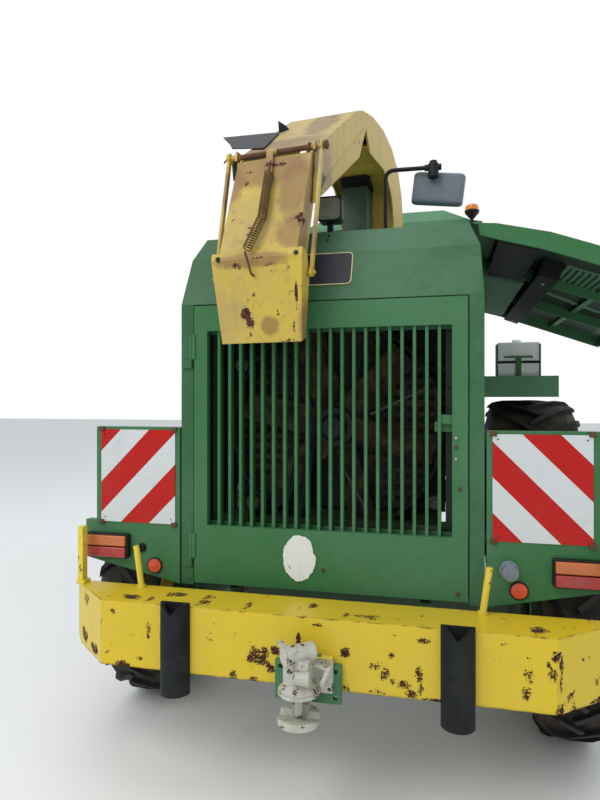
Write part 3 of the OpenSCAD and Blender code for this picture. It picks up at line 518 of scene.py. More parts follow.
class Kit:
    """All finishes of the machine, made once."""

    green = Paint(
        "green_sheet", srgb(50, 108, 60), srgb(82, 126, 94), streaks=0.2, chips=0.68, stain_spread=0.012
    )
    green_top = Paint(
        "green_upper", srgb(40, 90, 50), srgb(92, 132, 106), fade=0.35, streaks=0.14, chips=0.70, lit_top=0.6,
        stain_spread=0.012,
    )
    # Lighter copy of the green paint for the cab's roof: painted light from above.
    green_roof_lit = Paint(
        "green_roof_lit", srgb(74, 128, 90), srgb(98, 146, 112), streaks=0.2, chips=0.72, lit_top=0.6
    )
    green_lift = Paint("green_lift", srgb(38, 66, 48), srgb(66, 92, 72), streaks=0.5, chips=0.66)
    green_dark = Paint("frame_paint", srgb(34, 66, 42), srgb(60, 80, 56), streaks=0.7, chips=0.64)
    bumper_places = (
        (-0.20, 0.61, 0.040, 0.038), (-0.13, 0.645, 0.016, 0.016), (-0.02, 0.79, 0.014, 0.018),
        (0.03, 0.757, 0.024, 0.010), (-0.04, 0.705, 0.008, 0.022), (-0.15, 0.575, 0.018, 0.014),
        (-0.30, 0.537, 0.014, 0.016), (-0.22, 0.53, 0.020, 0.010), (-0.66, 0.685, 0.010, 0.034),
        (-0.78, 0.528, 0.028, 0.014), (-0.82, 0.74, 0.010, 0.010), (-0.70, 0.56, 0.012, 0.009),
        (0.42, 0.735, 0.030, 0.010), (0.14, 0.665, 0.016, 0.018), (0.31, 0.67, 0.010, 0.010),
        (0.25, 0.625, 0.022, 0.018), (0.285, 0.60, 0.020, 0.024), (0.31, 0.575, 0.014, 0.018),
        (0.355, 0.567, 0.036, 0.014), (0.405, 0.60, 0.013, 0.042), (0.41, 0.56, 0.015, 0.028),
        (0.385, 0.538, 0.024, 0.016), (0.14, 0.534, 0.026, 0.016), (0.26, 0.532, 0.034, 0.012),
        (0.46, 0.525, 0.040, 0.008), (0.78, 0.65, 0.020, 0.026), (0.77, 0.585, 0.016, 0.022),
        (0.868, 0.72, 0.018, 0.016), (0.855, 0.655, 0.014, 0.026), (0.885, 0.665, 0.006, 0.066),
        (0.84, 0.69, 0.008, 0.010), (0.885, 0.535, 0.020, 0.020),
    )
    bumper = Paint(
        "bumper_yellow", srgb(216, 186, 34), srgb(206, 178, 56), streaks=0.06, chips=0.652,
        chip_scale=21.0, edge_wear=0.8, stain_share=0.3, stain_spread=0.012, rough=0.34, coat=0.2,
        edge_radius=0.014,
        rust_dark=srgb(30, 20, 20), rust_light=srgb(92, 50, 32), lit_top=0.0, spot_strength=0.33,
        spots=spots(-0.29, 0.05, 1.7, *bumper_places) + spots(
            -0.16, 0.05, 1.4, (-1.02, 0.74, 0.026, 0.040), (-1.09, 0.63, 0.014, 0.030),
            (-1.04, 0.575, 0.040, 0.030),
            (0.95, 0.585, 0.026, 0.024), (1.00, 0.53, 0.040, 0.014),
        ) + spots(
            -0.23, 0.05, 1.4, (-0.94, 0.56, 0.050, 0.026), (-0.88, 0.54, 0.030, 0.022),
            (0.91, 0.58, 0.024, 0.030),
            (0.925, 0.53, 0.020, 0.024), (-0.76, 0.783, 0.050, 0.02), (-0.68, 0.783, 0.018, 0.02),
            (-0.45, 0.783, 0.030, 0.02), (-0.26, 0.783, 0.016, 0.02), (0.23, 0.783, 0.052, 0.02),
            (0.13, 0.783, 0.016, 0.02), (0.82, 0.783, 0.034, 0.02),
        ) + spots(
            -0.16, 0.04, 1.4, (-0.60, 0.783, 0.050, 0.02), (-0.45, 0.783, 0.040, 0.02),
            (-0.01, 0.783, 0.02, 0.02),
        ),
    )
    guard = Paint(
        "guard_yellow", srgb(228, 204, 60), srgb(214, 190, 84), streaks=0.1, chips=0.62, chip_scale=26.0
    )
    spout = Paint(
        "spout_yellow", srgb(196, 166, 64), srgb(178, 156, 92), fade=0.6, streaks=0.4, chips=0.65,
        chip_scale=12.0, edge_wear=0.7, dirt=srgb(132, 106, 70), stain_spread=0.04, rough=0.5, lit_top=0.9,
        stain=srgb(126, 98, 74), smears=smears(
            (-0.28, 0.16, 2.74, 0.36, 0.16, 0.20),
            (-0.10, 0.55, 2.98, 0.10, 0.50, 0.34),
            (-0.04, 0.10, 2.62, 0.06, 0.22, 0.16),
        ),
    )
    flap = Paint(
        "flap_yellow", srgb(204, 176, 66), srgb(180, 156, 96), fade=0.9, streaks=0.4, chips=0.632,
        chip_scale=10.0, edge_wear=0.9, dirt=srgb(138, 112, 72), stain_spread=0.03, stain_share=0.5,
        rough=0.5, wide=3.0, lit_top=0.2, rust_dark=srgb(40, 24, 24), rust_light=srgb(104, 58, 40),
        stain=srgb(134, 98, 64), spot_strength=0.34, smears=smears(
            (-0.24, -0.02, 2.58, 0.26, 0.12, 0.12),
            (-0.10, -0.08, 2.44, 0.10, 0.12, 0.24),
            (-0.06, -0.17, 2.27, 0.14, 0.10, 0.12),
            (-0.40, -0.04, 2.52, 0.08, 0.10, 0.16),
            (-0.19, -0.17, 1.90, 0.05, 0.08, 0.05),
            (-0.02, -0.14, 1.90, 0.06, 0.14, 0.16),
            (-0.24, -0.20, 2.16, 0.24, 0.06, 0.04),
        ), spots=spots(
            -0.20, 0.06, 1.4, (-0.32, 2.14, 0.036, 0.018), (-0.16, 2.14, 0.040, 0.020),
            (-0.12, 2.135, 0.030, 0.008),
            (-0.10, 2.12, 0.010, 0.008), (-0.17, 2.11, 0.007, 0.007), (-0.37, 1.845, 0.050, 0.012),
            (-0.13, 1.835, 0.066, 0.016), (-0.07, 2.02, 0.006, 0.05), (-0.085, 1.88, 0.007, 0.04),
            (-0.40, 2.16, 0.014, 0.010), (-0.22, 2.165, 0.03, 0.006),
        ) + spots(
            -0.17, 0.06, 1.4, (-0.15, 1.95, 0.008, 0.018), (-0.29, 1.95, 0.018, 0.018),
            (-0.27, 1.91, 0.018, 0.024),
            (-0.275, 1.865, 0.009, 0.014),
        ) + spots(
            -0.05, 0.05, 1.4, (-0.20, 2.60, 0.06, 0.012), (-0.07, 2.50, 0.01, 0.05),
            (-0.33, 2.58, 0.03, 0.008),
        ),
    )
    rim = Paint(
        "rim_yellow", srgb(204, 174, 60), srgb(176, 150, 82), streaks=0.6, chips=0.62, chip_scale=14.0
    )
    white_cast = Paint(
        "white_cast", srgb(202, 202, 190), srgb(172, 170, 154), streaks=0.45, chips=0.60,
        chip_scale=24.0, edge_wear=1.1, stain_share=0.5, rough=0.45,
    )
    tank = Paint(
        "tank_white", srgb(244, 248, 246), srgb(226, 234, 232), streaks=0.22, chips=0.74, rough=0.5
    )
    black_paint = Paint(
        "black_paint", srgb(28, 31, 36), srgb(52, 56, 62), streaks=0.2, chips=0.68, rough=0.4
    )
    rubber = Rubber("black_rubber", srgb(22, 25, 26), srgb(66, 68, 66))
    mirror_shell = Rubber("mirror_shell", srgb(112, 120, 130), srgb(142, 148, 154), 0.5, 0.42)
    plastic = Rubber("black_plastic", srgb(30, 31, 33), srgb(74, 72, 66), 0.25, 0.45)
    trim = Rubber("cab_trim", srgb(52, 50, 46), srgb(96, 90, 78), 0.3, 0.7)
    steel = Metal("worn_steel", srgb(150, 146, 138))
    rust = Metal("rusty_steel", srgb(96, 62, 44), stained=0.9, metallic=0.2, rough=0.7)
    spring = Metal("spring_steel", srgb(128, 104, 56), stained=0.7, metallic=0.2, rough=0.7)
    dull = Metal("dull_steel", srgb(92, 92, 88), stained=0.7, metallic=0.4, rough=0.6)
    dusty = Rubber("dusty_blades", srgb(48, 42, 38), srgb(118, 98, 74), 0.9, 0.8)
    hose = Rubber("blue_hose", srgb(24, 36, 50), srgb(70, 76, 78))
    # Near-black copy of the green paint: painted shade inside the raised cover.
    cover_shade_black = Paint(
        "cover_shade_black", srgb(13, 18, 17), srgb(26, 34, 31), streaks=0.2, chips=0.68, rough=0.75
    )
    # Dark copy of the green paint: painted shade inside the raised cover.
    cover_shade_green = Paint("cover_shade_green", srgb(30, 48, 38), srgb(44, 66, 53), streaks=0.3, chips=0.7, rough=0.7)
    green_inside = Paint("green_inside", srgb(84, 128, 98), srgb(112, 150, 122), streaks=0.4, chips=0.7)
    # Lighter copy of the green paint for the platforms: painted light where the raised cover shades the deck.
    green_deck_lit = Paint("green_deck_lit", srgb(84, 142, 100), srgb(110, 158, 122), streaks=0.2, chips=0.7)
    mirror_glass = Metal("mirror_glass", srgb(196, 204, 208), srgb(150, 148, 140), 0.2, 0.9, 0.14)
    zinc = Metal("zinc_steel", srgb(176, 178, 174), stained=0.25)
    core = CoolerCore("cooler_core")
    red_lens = Lens("red_lens", srgb(168, 30, 24))
    amber_lens = Lens("amber_lens", srgb(196, 104, 34))
    orange_lens = Lens("orange_lens", srgb(226, 74, 30))
    beacon_lens = Lens("beacon_lens", srgb(246, 142, 24), 260.0)
    clear_lens = Lens("clear_lens", srgb(150, 150, 132), 420.0)
    glass = Glass("cab_glass")
    cream = Paint("cream_border", srgb(214, 208, 150), srgb(196, 190, 140), streaks=0.2, chips=0.72)
    plate = Paint("plate_black", srgb(34, 38, 44), srgb(52, 56, 62), streaks=0.2, chips=0.74, rough=0.4)
    sticker = Paint(
        "sticker_white", srgb(222, 226, 220), srgb(206, 208, 200), streaks=0.2, chips=0.66,
        chip_scale=20.0, rust_dark=srgb(60, 96, 66), rust_light=srgb(72, 104, 76), stain_share=0.0,
    )

    def __init__(self) -> None:
        """Starts with no material built."""
        self.made: dict[str, bpy.types.Material] = {}

    def of(self, finish: Finish) -> bpy.types.Material:
        """The material of a finish, built at its first use."""
        if finish.name not in self.made:
            self.made[finish.name] = finish.build()
        return self.made[finish.name]


KIT = Kit()


@dataclass
class Shape:
    """Points and faces of a piece before it becomes a mesh."""

    points: np.ndarray
    faces: list[tuple[int, ...]]

    def __add__(self, other: "Shape") -> "Shape":
        """Both shapes in one."""
        shift = len(self.points)
        moved = [tuple(i + shift for i in face) for face in other.faces]
        return Shape(np.vstack([self.points, other.points]), self.faces + moved)

    def moved(self, offset: np.ndarray) -> "Shape":
        """The shape pushed by an offset."""
        return Shape(self.points + np.asarray(offset, float), self.faces)

    def mirrored(self) -> "Shape":
        """The shape on the other side of the centre line."""
        return Shape(self.points * np.array([-1.0, 1.0, 1.0]), [face[::-1] for face in self.faces])


def together(shapes: list[Shape]) -> Shape:
    """All the shapes in one."""
    whole = shapes[0]
    for shape in shapes[1:]:
        whole = whole + shape
    return whole


def skin(grid: np.ndarray, around: bool = True, caps: bool = False) -> Shape:
    """Quads over a grid of points.

    Args:
        grid: rows by columns by 3.
        around: joins the last column to the first.
        caps: closes the first and last rows with one face each.

    Returns:
        The shape.
    """
    rows, cols = grid.shape[:2]
    index = np.arange(rows * cols).reshape(rows, cols)
    wrapped = np.hstack([index, index[:, :1]]) if around else index
    quads = np.stack(
        [wrapped[:-1, :-1], wrapped[:-1, 1:], wrapped[1:, 1:], wrapped[1:, :-1]], axis=-1
    )
    faces = [tuple(quad) for quad in quads.reshape(-1, 4).tolist()]
    if caps:
        faces += [tuple(index[0][::-1].tolist()), tuple(index[-1].tolist())]
    return Shape(grid.reshape(-1, 3).astype(float), faces)


def unit(vector: np.ndarray) -> np.ndarray:
    """Vectors of length one along the last axis."""
    return vector / np.linalg.norm(vector, axis=-1, keepdims=True)


def tube(path: np.ndarray, radius: float | np.ndarray, sides: int = 20) -> Shape:
    """A round bar along a path: circles across the path, set square to its tangent."""
    path = np.asarray(path, float)
    tangent = unit(np.gradient(path, axis=0))
    normal = np.linalg.svd(path - path.mean(0))[2][-1]
    side = unit(np.cross(tangent, normal))
    over = np.cross(side, tangent)
    angle = np.linspace(0.0, FULL_TURN, sides, endpoint=False)
    reach = np.broadcast_to(np.asarray(radius, float), (len(path),))[:, None, None]
    ring = np.cos(angle)[None, :, None] * side[:, None] + np.sin(angle)[None, :, None] * over[:, None]
    return skin(path[:, None] + reach * ring, True, True)


def bent(points: np.ndarray, radius: float, steps: int = 7) -> np.ndarray:
    """A path through corner points with each corner rounded by a quadratic curve."""
    points = np.asarray(points, float)
    t = np.linspace(0.0, 1.0, steps)[:, None]
    path = [points[:1]]
    for before, corner, after in zip(points[:-2], points[1:-1], points[2:]):
        start = corner + unit(before - corner) * radius
        end = corner + unit(after - corner) * radius
        path.append((1 - t) ** 2 * start + 2 * t * (1 - t) * corner + t**2 * end)
    return np.vstack([*path, points[-1:]])


def lathe(
    profile: list[tuple[float, float]], origin: np.ndarray, axis: np.ndarray, steps: int = 40
) -> Shape:
    """A turned piece: a profile of way along the axis and radius, carried round the axis."""
    axis = unit(np.asarray(axis, float))
    helper = np.array([0.0, 0.0, 1.0]) if abs(axis[2]) < 0.9 else np.array([1.0, 0.0, 0.0])
    side = unit(np.cross(axis, helper))
    over = np.cross(axis, side)
    angle = np.linspace(0.0, FULL_TURN, steps, endpoint=False)
    ring = np.cos(angle)[:, None] * side + np.sin(angle)[:, None] * over
    way, radius = np.array(profile, float).T
    grid = np.asarray(origin, float) + way[:, None, None] * axis + radius[:, None, None] * ring[None]
    return skin(grid, True, True)


def plate(outline: np.ndarray, origin: np.ndarray, across: Point, upward: Point, depth: float) -> Shape:
    """A flat plate: an outline in two directions, made deep along their cross product."""
    outline = np.asarray(outline, float)
    across, upward = unit(np.array(across, float)), unit(np.array(upward, float))
    face = np.asarray(origin, float) + outline[:, :1] * across + outline[:, 1:] * upward
    return skin(np.stack([face, face + np.cross(across, upward) * depth]), True, True)


def rounded_rectangle(half_u: float, half_v: float, radius: float, steps: int = 6) -> np.ndarray:
    """Outline of a rectangle with quarter circles at its corners."""
    angle = np.linspace(0.0, math.pi / 2, steps)
    quarter = np.stack([np.cos(angle), np.sin(angle)], axis=1) * radius
    corners = []
    for turn, (su, sv) in enumerate([(1, 1), (-1, 1), (-1, -1), (1, -1)]):
        c, s = math.cos(turn * math.pi / 2), math.sin(turn * math.pi / 2)
        centre = np.array([su * (half_u - radius), sv * (half_v - radius)])
        corners.append(quarter @ np.array([[c, s], [-s, c]]) + centre)
    return np.vstack(corners)


def slab(low: np.ndarray, high: np.ndarray) -> Shape:
    """A right-angled piece between two corners."""
    low, high = np.asarray(low, float), np.asarray(high, float)
    size = high - low
    outline = np.array([[0, 0], [size[0], 0], [size[0], size[2]], [0, size[2]]])
    return plate(outline, low + np.array([0.0, size[1], 0.0]), (1, 0, 0), (0, 0, 1), size[1])


def bar(start: np.ndarray, end: np.ndarray, radius: float, sides: int = 20) -> Shape:
    """A straight round bar with slightly broken ends."""
    start, end = np.asarray(start, float), np.asarray(end, float)
    length = float(np.linalg.norm(end - start))
    lip = min(0.15 * radius, 0.2 * length)
    profile = [(0.0, radius - lip), (lip, radius), (length - lip, radius), (length, radius - lip)]
    return lathe(profile, start, end - start, sides)


def facing(outline: np.ndarray, origin: np.ndarray, depth: float) -> Shape:
    """A plate seen square on from behind the machine, made deep towards the back."""
    return plate(outline, origin, (1, 0, 0), (0, 0, 1), depth)


def brick(low: Point, high: Point) -> Shape:
    """A right-angled piece between two corners, each given as for place."""
    return slab(place(*low), place(*high))


def rod(start: Point, end: Point, radius: float, sides: int = 20) -> Shape:
    """A straight round bar between two places."""
    return bar(place(*start), place(*end), radius, sides)


def bolt(origin: np.ndarray, axis: Point, size: float) -> Shape:
    """A hexagon head on a washer with its axis outward."""
    washer = lathe([(0.0, size * 1.05), (size * 0.16, size * 1.05)], origin, axis, 20)
    head = lathe(
        [(size * 0.16, size * 0.86), (size * 0.7, size * 0.86), (size * 0.8, size * 0.68)], origin, axis, 6
    )
    return washer + head


def rivet(origin: np.ndarray, axis: Point, size: float) -> Shape:
    """A low round head: a quarter circle turned round the axis."""
    angle = np.linspace(0.0, math.pi / 2, 5)
    profile = [(size * 0.5 * math.sin(a), size * math.cos(a)) for a in angle]
    return lathe(profile, origin, axis, 16)


def add(name: str, data: bpy.types.ID) -> bpy.types.Object:
    """An object in the scene around a mesh, a lamp or a camera."""
    made = bpy.data.objects.new(name, data)
    bpy.context.scene.collection.objects.link(made)
    return made


def piece(
    name: str,
    shape: Shape | list[Shape],
    finish: Finish,
    body: str = "frame",
    bevel: float = 0.0,
    angle: float = 34.0,
) -> bpy.types.Object:
    """Makes a shape into a piece of the machine.

    Args:
        name: the piece's name.
        shape: its points and faces in the machine's frame, or a list of such shapes.
        body: the body it moves with.
        bevel: radius of its edges, or 0 for none.
        angle: edges below this angle are shaded smooth, in degrees.

    Returns:
        The object.
    """
    if isinstance(shape, list):
        shape = together(shape)
    mesh = bpy.data.meshes.new(name)
    mesh.from_pydata(shape.points.tolist(), [], shape.faces)
    work = bmesh.new()
    work.from_mesh(mesh)
    bmesh.ops.remove_doubles(work, verts=work.verts, dist=MERGE_DISTANCE)
    bmesh.ops.recalc_face_normals(work, faces=work.faces)
    work.to_mesh(mesh)
    work.free()
    mesh.polygons.foreach_set("use_smooth", [True] * len(mesh.polygons))
    mesh.set_sharp_from_angle(angle=math.radians(angle))
    mesh.materials.append(KIT.of(finish))
    made = add(name, mesh)
    if bevel:
        edge = made.modifiers.new("edge", "BEVEL")
        edge.width, edge.segments, edge.limit_method = bevel, 2, "ANGLE"
        edge.angle_limit = BEVEL_LIMIT
    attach(made, body)
    LOG.info("%s: %d faces on %s", name, len(mesh.polygons), body)
    return made


class Side(Enum):
    """The two sides of the machine, as the sign of X."""

    LEFT = -1
    RIGHT = 1


class Dressing:
    """Finishes of the pieces that come from the frame."""

    def dress(self) -> None:
        """Gives every node of the frame its finish."""
        groups = {
            KIT.green: "rear_door cover_left cover_right rear_panels hitch_plate crop_housing cab_door",
            KIT.green_top: "hood cab_shell",
            KIT.green_dark: "chassis rear_axle front_axle knuckle_left knuckle_right engine",
            KIT.flap: "flap_upper flap_lower flap_links",
            KIT.rim: "steer_rim_left steer_rim_right drive_rim_left drive_rim_right",
            KIT.spout: "spout",
            KIT.green_roof_lit: "cab_roof",
            KIT.green_lift: "turret",
            KIT.green_deck_lit: "platforms",
            KIT.dusty: "fan",
            KIT.bumper: "bumper",
            KIT.guard: "bumper_guards",
            KIT.rubber: "buffers",
            KIT.white_cast: "hitch_coupling",
            KIT.core: "radiator",
            KIT.plastic: "lamps mirrors",
            KIT.steel: "feed_roll_upper feed_roll_lower",
            KIT.glass: "cab_glass door_glass",
            KIT.trim: "cab_interior",
            KIT.tank: "white_tank",
        }
        for finish, names in groups.items():
            for name in names.split():
                self.paint(name, finish)
        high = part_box("warning_boards")[1]
        self.paint("warning_boards", Stripes("board_stripes", high.x, high.z))
        for side in ("left", "right"):
            for kind in ("drive", "steer"):
                low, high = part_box(f"{kind}_tyre_{side}")
                centre = (low + high) / 2
                rim = (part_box(f"{kind}_rim_{side}")[1].z - centre.z) - 0.02
                tread = Tread(f"{kind}_tread_{side}", (centre.y, centre.z), high.z - centre.z, rim)
                self.paint(f"{kind}_tyre_{side}", tread)

    def paint(self, name: str, finish: Finish) -> None:
        """Sets one node's material."""
        mesh = frame["nodes"][name].data
        mesh.materials.clear()
        mesh.materials.append(KIT.of(finish))
        LOG.info("%s dressed in %s", name, finish.name)


@dataclass
class UpperPanel:
    """Sloping panel over the door with its blank plate and two small holes."""

    crease: float = 2.025
    top: float = 2.245
    depth: float = 0.100
    plate_half: tuple[float, float] = (0.112, 0.084)
    plate_height: float = 2.166
    hole_height: float = 2.338

    def build(self) -> None:
        """Blank plate with a pale border on the slope, and the holes above it as black discs of painted shade.
        """
        rise = self.top - self.crease
        upward = np.array([0.0, self.depth, rise])
        run = unit(upward)
        out = np.cross((1.0, 0.0, 0.0), run)
        centre = place(0.0, 0.0, self.crease) + upward * (self.plate_height - self.crease) / rise
        outer = rounded_rectangle(*self.plate_half, 0.022)
        inner = rounded_rectangle(self.plate_half[0] - 0.005, self.plate_half[1] - 0.005, 0.018)
        base = plate(outer, centre, (1, 0, 0), run, 0.003)
        piece("blank_plate", base, KIT.plate)
        ring = np.stack([outer, inner])
        flat = centre + out * 0.0042 + ring[..., :1] * np.array([1.0, 0, 0]) + ring[..., 1:] * run
        low = flat - out * 0.0012
        border = skin(np.stack([low[0], flat[0], flat[1], low[1], low[0]]), True)
        piece("plate_border", border, KIT.cream)
        middles = [place(-0.008 - i * 0.004, 0.163 - i * 0.016, self.hole_height - i * 0.022) for i in range(2)]
        # The two holes are black discs: painted shade in the holes.
        holes = [lathe([(0.0, 0.006), (0.002, 0.005)], middle, out, 14) for middle in middles]
        piece("panel_hole_shade", holes, KIT.plastic)


@dataclass
class DoorTrim:
    """Small parts of the barred rear door: lock rivets, bolts, catch and the worn blank sticker."""

    lock_u: float = 0.540
    lock_heights: tuple[float, ...] = (1.447, 1.363)
    rusty: tuple[tuple[float, float], ...] = (
        (0.540, 1.411), (0.555, 1.243), (-0.004, 0.883), (0.546, 0.824)
    )
    sticker_centre: tuple[float, float] = (-0.105, 0.927)
    sticker_half: tuple[float, float] = (0.072, 0.098)

    def build(self) -> None:
        """Rivets, bolts, sticker and catch on the door's face."""
        bright = [rivet(self.on_face(self.lock_u, v), BACKWARD, 0.0065) for v in self.lock_heights]
        piece("lock_rivets", bright, KIT.zinc)
        rusty = [bolt(self.on_face(u, v), BACKWARD, 0.0075) for u, v in self.rusty]
        piece("door_bolts", rusty, KIT.rust)
        self.sticker()
        catch = brick((0.455, 0.036, 1.470), (0.536, 0.042, 1.510))
        piece("door_catch", catch, KIT.green, bevel=0.001)

    def on_face(self, u: float, v: float) -> np.ndarray:
        """A point on the door's outer face."""
        return np.array([u, DOOR_FACE, v])

    def sticker(self) -> None:
        """Blank oval whose radius wavers and is torn in at the upper right."""
        angle = np.linspace(0.0, FULL_TURN, 120, endpoint=False)
        wave = 1 + 0.018 * np.sin(angle * 7 + 1) + 0.012 * np.sin(angle * 17) + 0.01 * np.sin(angle * 31 + 2)
        upper_tear = 0.10 * np.exp(-((angle - 0.35) ** 2) / 0.05)
        lower_tear = 0.07 * np.exp(-((angle - 5.5) ** 2) / 0.03)
        half_u, half_v = self.sticker_half
        outline = np.stack([np.cos(angle) * half_u, np.sin(angle) * half_v], 1)
        outline = outline * (wave * (1 - upper_tear - lower_tear))[:, None]
        shape = facing(outline, self.on_face(*self.sticker_centre), 0.0012)
        piece("oval_sticker", shape, KIT.sticker)


@dataclass
class RearLamps:
    """Tail lamps, reflectors, socket, beacon and work lamps in place of their plain solids."""

    lamp_low: Point = (0.900, -0.045, 0.880)
    lamp_high: Point = (1.115, 0.0, 0.990)
    reflector: tuple[float, float, float] = (0.779, 0.852, 0.036)
    socket: tuple[float, float, float] = (0.742, 0.931, 0.037)
    grommet: tuple[float, float, float] = (-0.843, 0.929, 0.020)

    def build(self) -> None:
        """All lamps."""
        housings, reds, ambers = [], [], []
        for side in Side:
            centre_u = side.value * (self.lamp_low[0] + self.lamp_high[0]) / 2
            centre_v = (self.lamp_low[2] + self.lamp_high[2]) / 2
            half = (self.lamp_high[0] - self.lamp_low[0]) / 2
            tall = (self.lamp_high[2] - self.lamp_low[2]) / 2
            base = place(centre_u, 0.0, centre_v)
            housings.append(facing(rounded_rectangle(half, tall, 0.010), base, 0.030))
            lens = rounded_rectangle(half - 0.007, tall / 2 - 0.0045, 0.006)
            front = place(centre_u, -0.028, centre_v)
            reds.append(facing(lens, front - np.array([0, 0, tall / 2 - 0.002]), 0.016))
            ambers.append(facing(lens, front + np.array([0, 0, tall / 2 - 0.002]), 0.016))
        housing = piece("tail_lamp_housings", housings, KIT.plastic, bevel=0.003)
        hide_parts("lamps")
        piece("tail_lamp_red", reds, KIT.red_lens, bevel=0.004)
        piece("tail_lamp_amber", ambers, KIT.amber_lens, bevel=0.004)
        self.round_parts()
        self.beacon()
        self.work_lamps()

    def round_parts(self) -> None:
        """Reflectors with rims, the trailer socket with its lid, and the grommet."""
        u, v, r = self.reflector
        rims, discs = [], []
        for side in Side:
            centre = place(side.value * u, 0.0, v)
            rim = [(0.0, r), (0.007, r), (0.009, r - 0.003), (0.007, r - 0.006)]
            disc = [(0.005, r - 0.003), (0.010, r - 0.006), (0.0115, r - 0.02), (0.012, 0.0)]
            rims.append(lathe(rim, centre, BACKWARD, 48))
            discs.append(lathe(disc, centre, BACKWARD, 48))
        piece("reflector_rims", rims, KIT.plastic)
        piece("reflectors", discs, KIT.orange_lens)
        u, v, r = self.socket
        centre = place(u, 0.0, v)
        barrel = [(0.0, r), (0.012, r), (0.016, r - 0.008), (0.050, r - 0.009), (0.052, r - 0.011), (0.052, 0.0)]
        cover = [(0.050, r - 0.006), (0.058, r - 0.006), (0.0615, r - 0.012), (0.062, 0.0)]
        body, lid = (lathe(profile, centre, BACKWARD, 40) for profile in (barrel, cover))
        hinge = rod((u - 0.018, -0.052, v + r - 0.006), (u + 0.018, -0.052, v + r - 0.006), 0.005)
        piece("trailer_socket", body + lid + hinge, KIT.mirror_shell)
        u, v, r = self.grommet
        lip = [(0.0, r), (0.008, r), (0.013, r - 0.005), (0.013, r - 0.009), (0.004, r - 0.011), (0.004, 0.0)]
        piece("cable_grommet", lathe(lip, place(u, 0.0, v), BACKWARD, 32), KIT.rubber)

    def beacon(self) -> None:
        """Amber dome in a dark cup on a stem."""
        low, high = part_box("cab_roof")
        foot = np.array([0.716, low.y - 0.030, high.z - 0.203])
        dome = [(0.153, 0.050), (0.170, 0.055), (0.190, 0.052), (0.203, 0.036), (0.206, 0.0)]
        piece("beacon_dome", lathe(dome, foot, UPWARD), KIT.beacon_lens)
        bowl = [(-0.018, 0.013), (0.085, 0.013), (0.100, 0.026), (0.135, 0.055), (0.153, 0.060), (0.155, 0.055)]
        cup = lathe(bowl, foot, UPWARD)
        clamp = lathe([(0.0, 0.020), (0.034, 0.020)], foot, UPWARD, 24)
        arm = slab(foot + np.array([-0.026, 0.0, -0.020]), foot + np.array([0.026, 0.112, -0.002]))
        piece("beacon_cup", cup + clamp + arm, KIT.plastic, bevel=0.001)

    def work_lamps(self) -> None:
        """Lamp on the hood behind the spout, and two on the front of the cab's roof."""
        shell, lens = [], []
        centre = place(-0.070, 0.480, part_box("hood")[1].z - 0.011 + 0.200)
        outline = rounded_rectangle(0.064, 0.062, 0.026)
        shell.append(facing(outline, centre + np.array([0, 0.088, 0]), 0.076))
        ring = np.stack([outline * k for k in (1.0, 1.0, 0.9, 0.88)])
        deep = np.array([0.014, 0.0, 0.0, 0.006])[:, None, None] * np.array([0.0, 1.0, 0.0])
        flat = centre + ring[..., :1] * np.array([1.0, 0, 0]) + ring[..., 1:] * np.array([0, 0, 1.0]) + deep
        shell.append(skin(flat, True))
        lens.append(facing(outline * 0.9, centre + np.array([0, 0.010, 0]), 0.006))
        stem = ((-0.015, 0.03, -0.200), (0.015, 0.06, -0.05))
        foot = ((-0.030, 0.015, -0.200), (0.030, 0.075, -0.194))
        shell += [slab(centre + np.array(low), centre + np.array(high)) for low, high in (stem, foot)]
        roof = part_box("cab_roof")
        for side in Side:
            middle = np.array([side.value * 0.650, roof[1].y - 0.006, roof[0].z - 0.045])
            body = rounded_rectangle(0.088, 0.042, 0.012)
            shell.append(plate(body, middle + np.array([0, -0.070, 0]), (-1, 0, 0), (0, 0, 1), 0.058))
            lens.append(plate(body * 0.9, middle + np.array([0, -0.014, 0]), (-1, 0, 0), (0, 0, 1), 0.008))
        piece("work_lamp_shells", shell, KIT.plastic, bevel=0.003)
        piece("work_lamp_lenses", lens, KIT.clear_lens, bevel=0.002)


@dataclass
class SpoutFrame:
    """Directions of the spout: lateral x, back s and height v, from the turret's axis."""

    turn: float = math.radians(6.8)

    def __post_init__(self) -> None:
        """Works out the axes from the turning angle and the turret's middle."""
        low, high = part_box("turret")
        self.side = np.array([math.cos(self.turn), -math.sin(self.turn), 0.0])
        self.back = np.array([-math.sin(self.turn), -math.cos(self.turn), 0.0])
        self.up = np.array([0.0, 0.0, 1.0])
        self.middle = np.array([0.0, high.y - 0.280, 0.0])

    def at(self, x: float, s: float, v: float) -> np.ndarray:
        """A point of the spout."""
        return self.middle + self.side * x + self.back * s + self.up * v

    def rows(self, *corners: Point) -> np.ndarray:
        """Several points of the spout as rows."""
        return np.array([self.at(*corner) for corner in corners])

    def bar(self, start: Point, end: Point, radius: float, sides: int = 20) -> Shape:
        """A straight round bar between two points of the spout."""
        return bar(self.at(*start), self.at(*end), radius, sides)


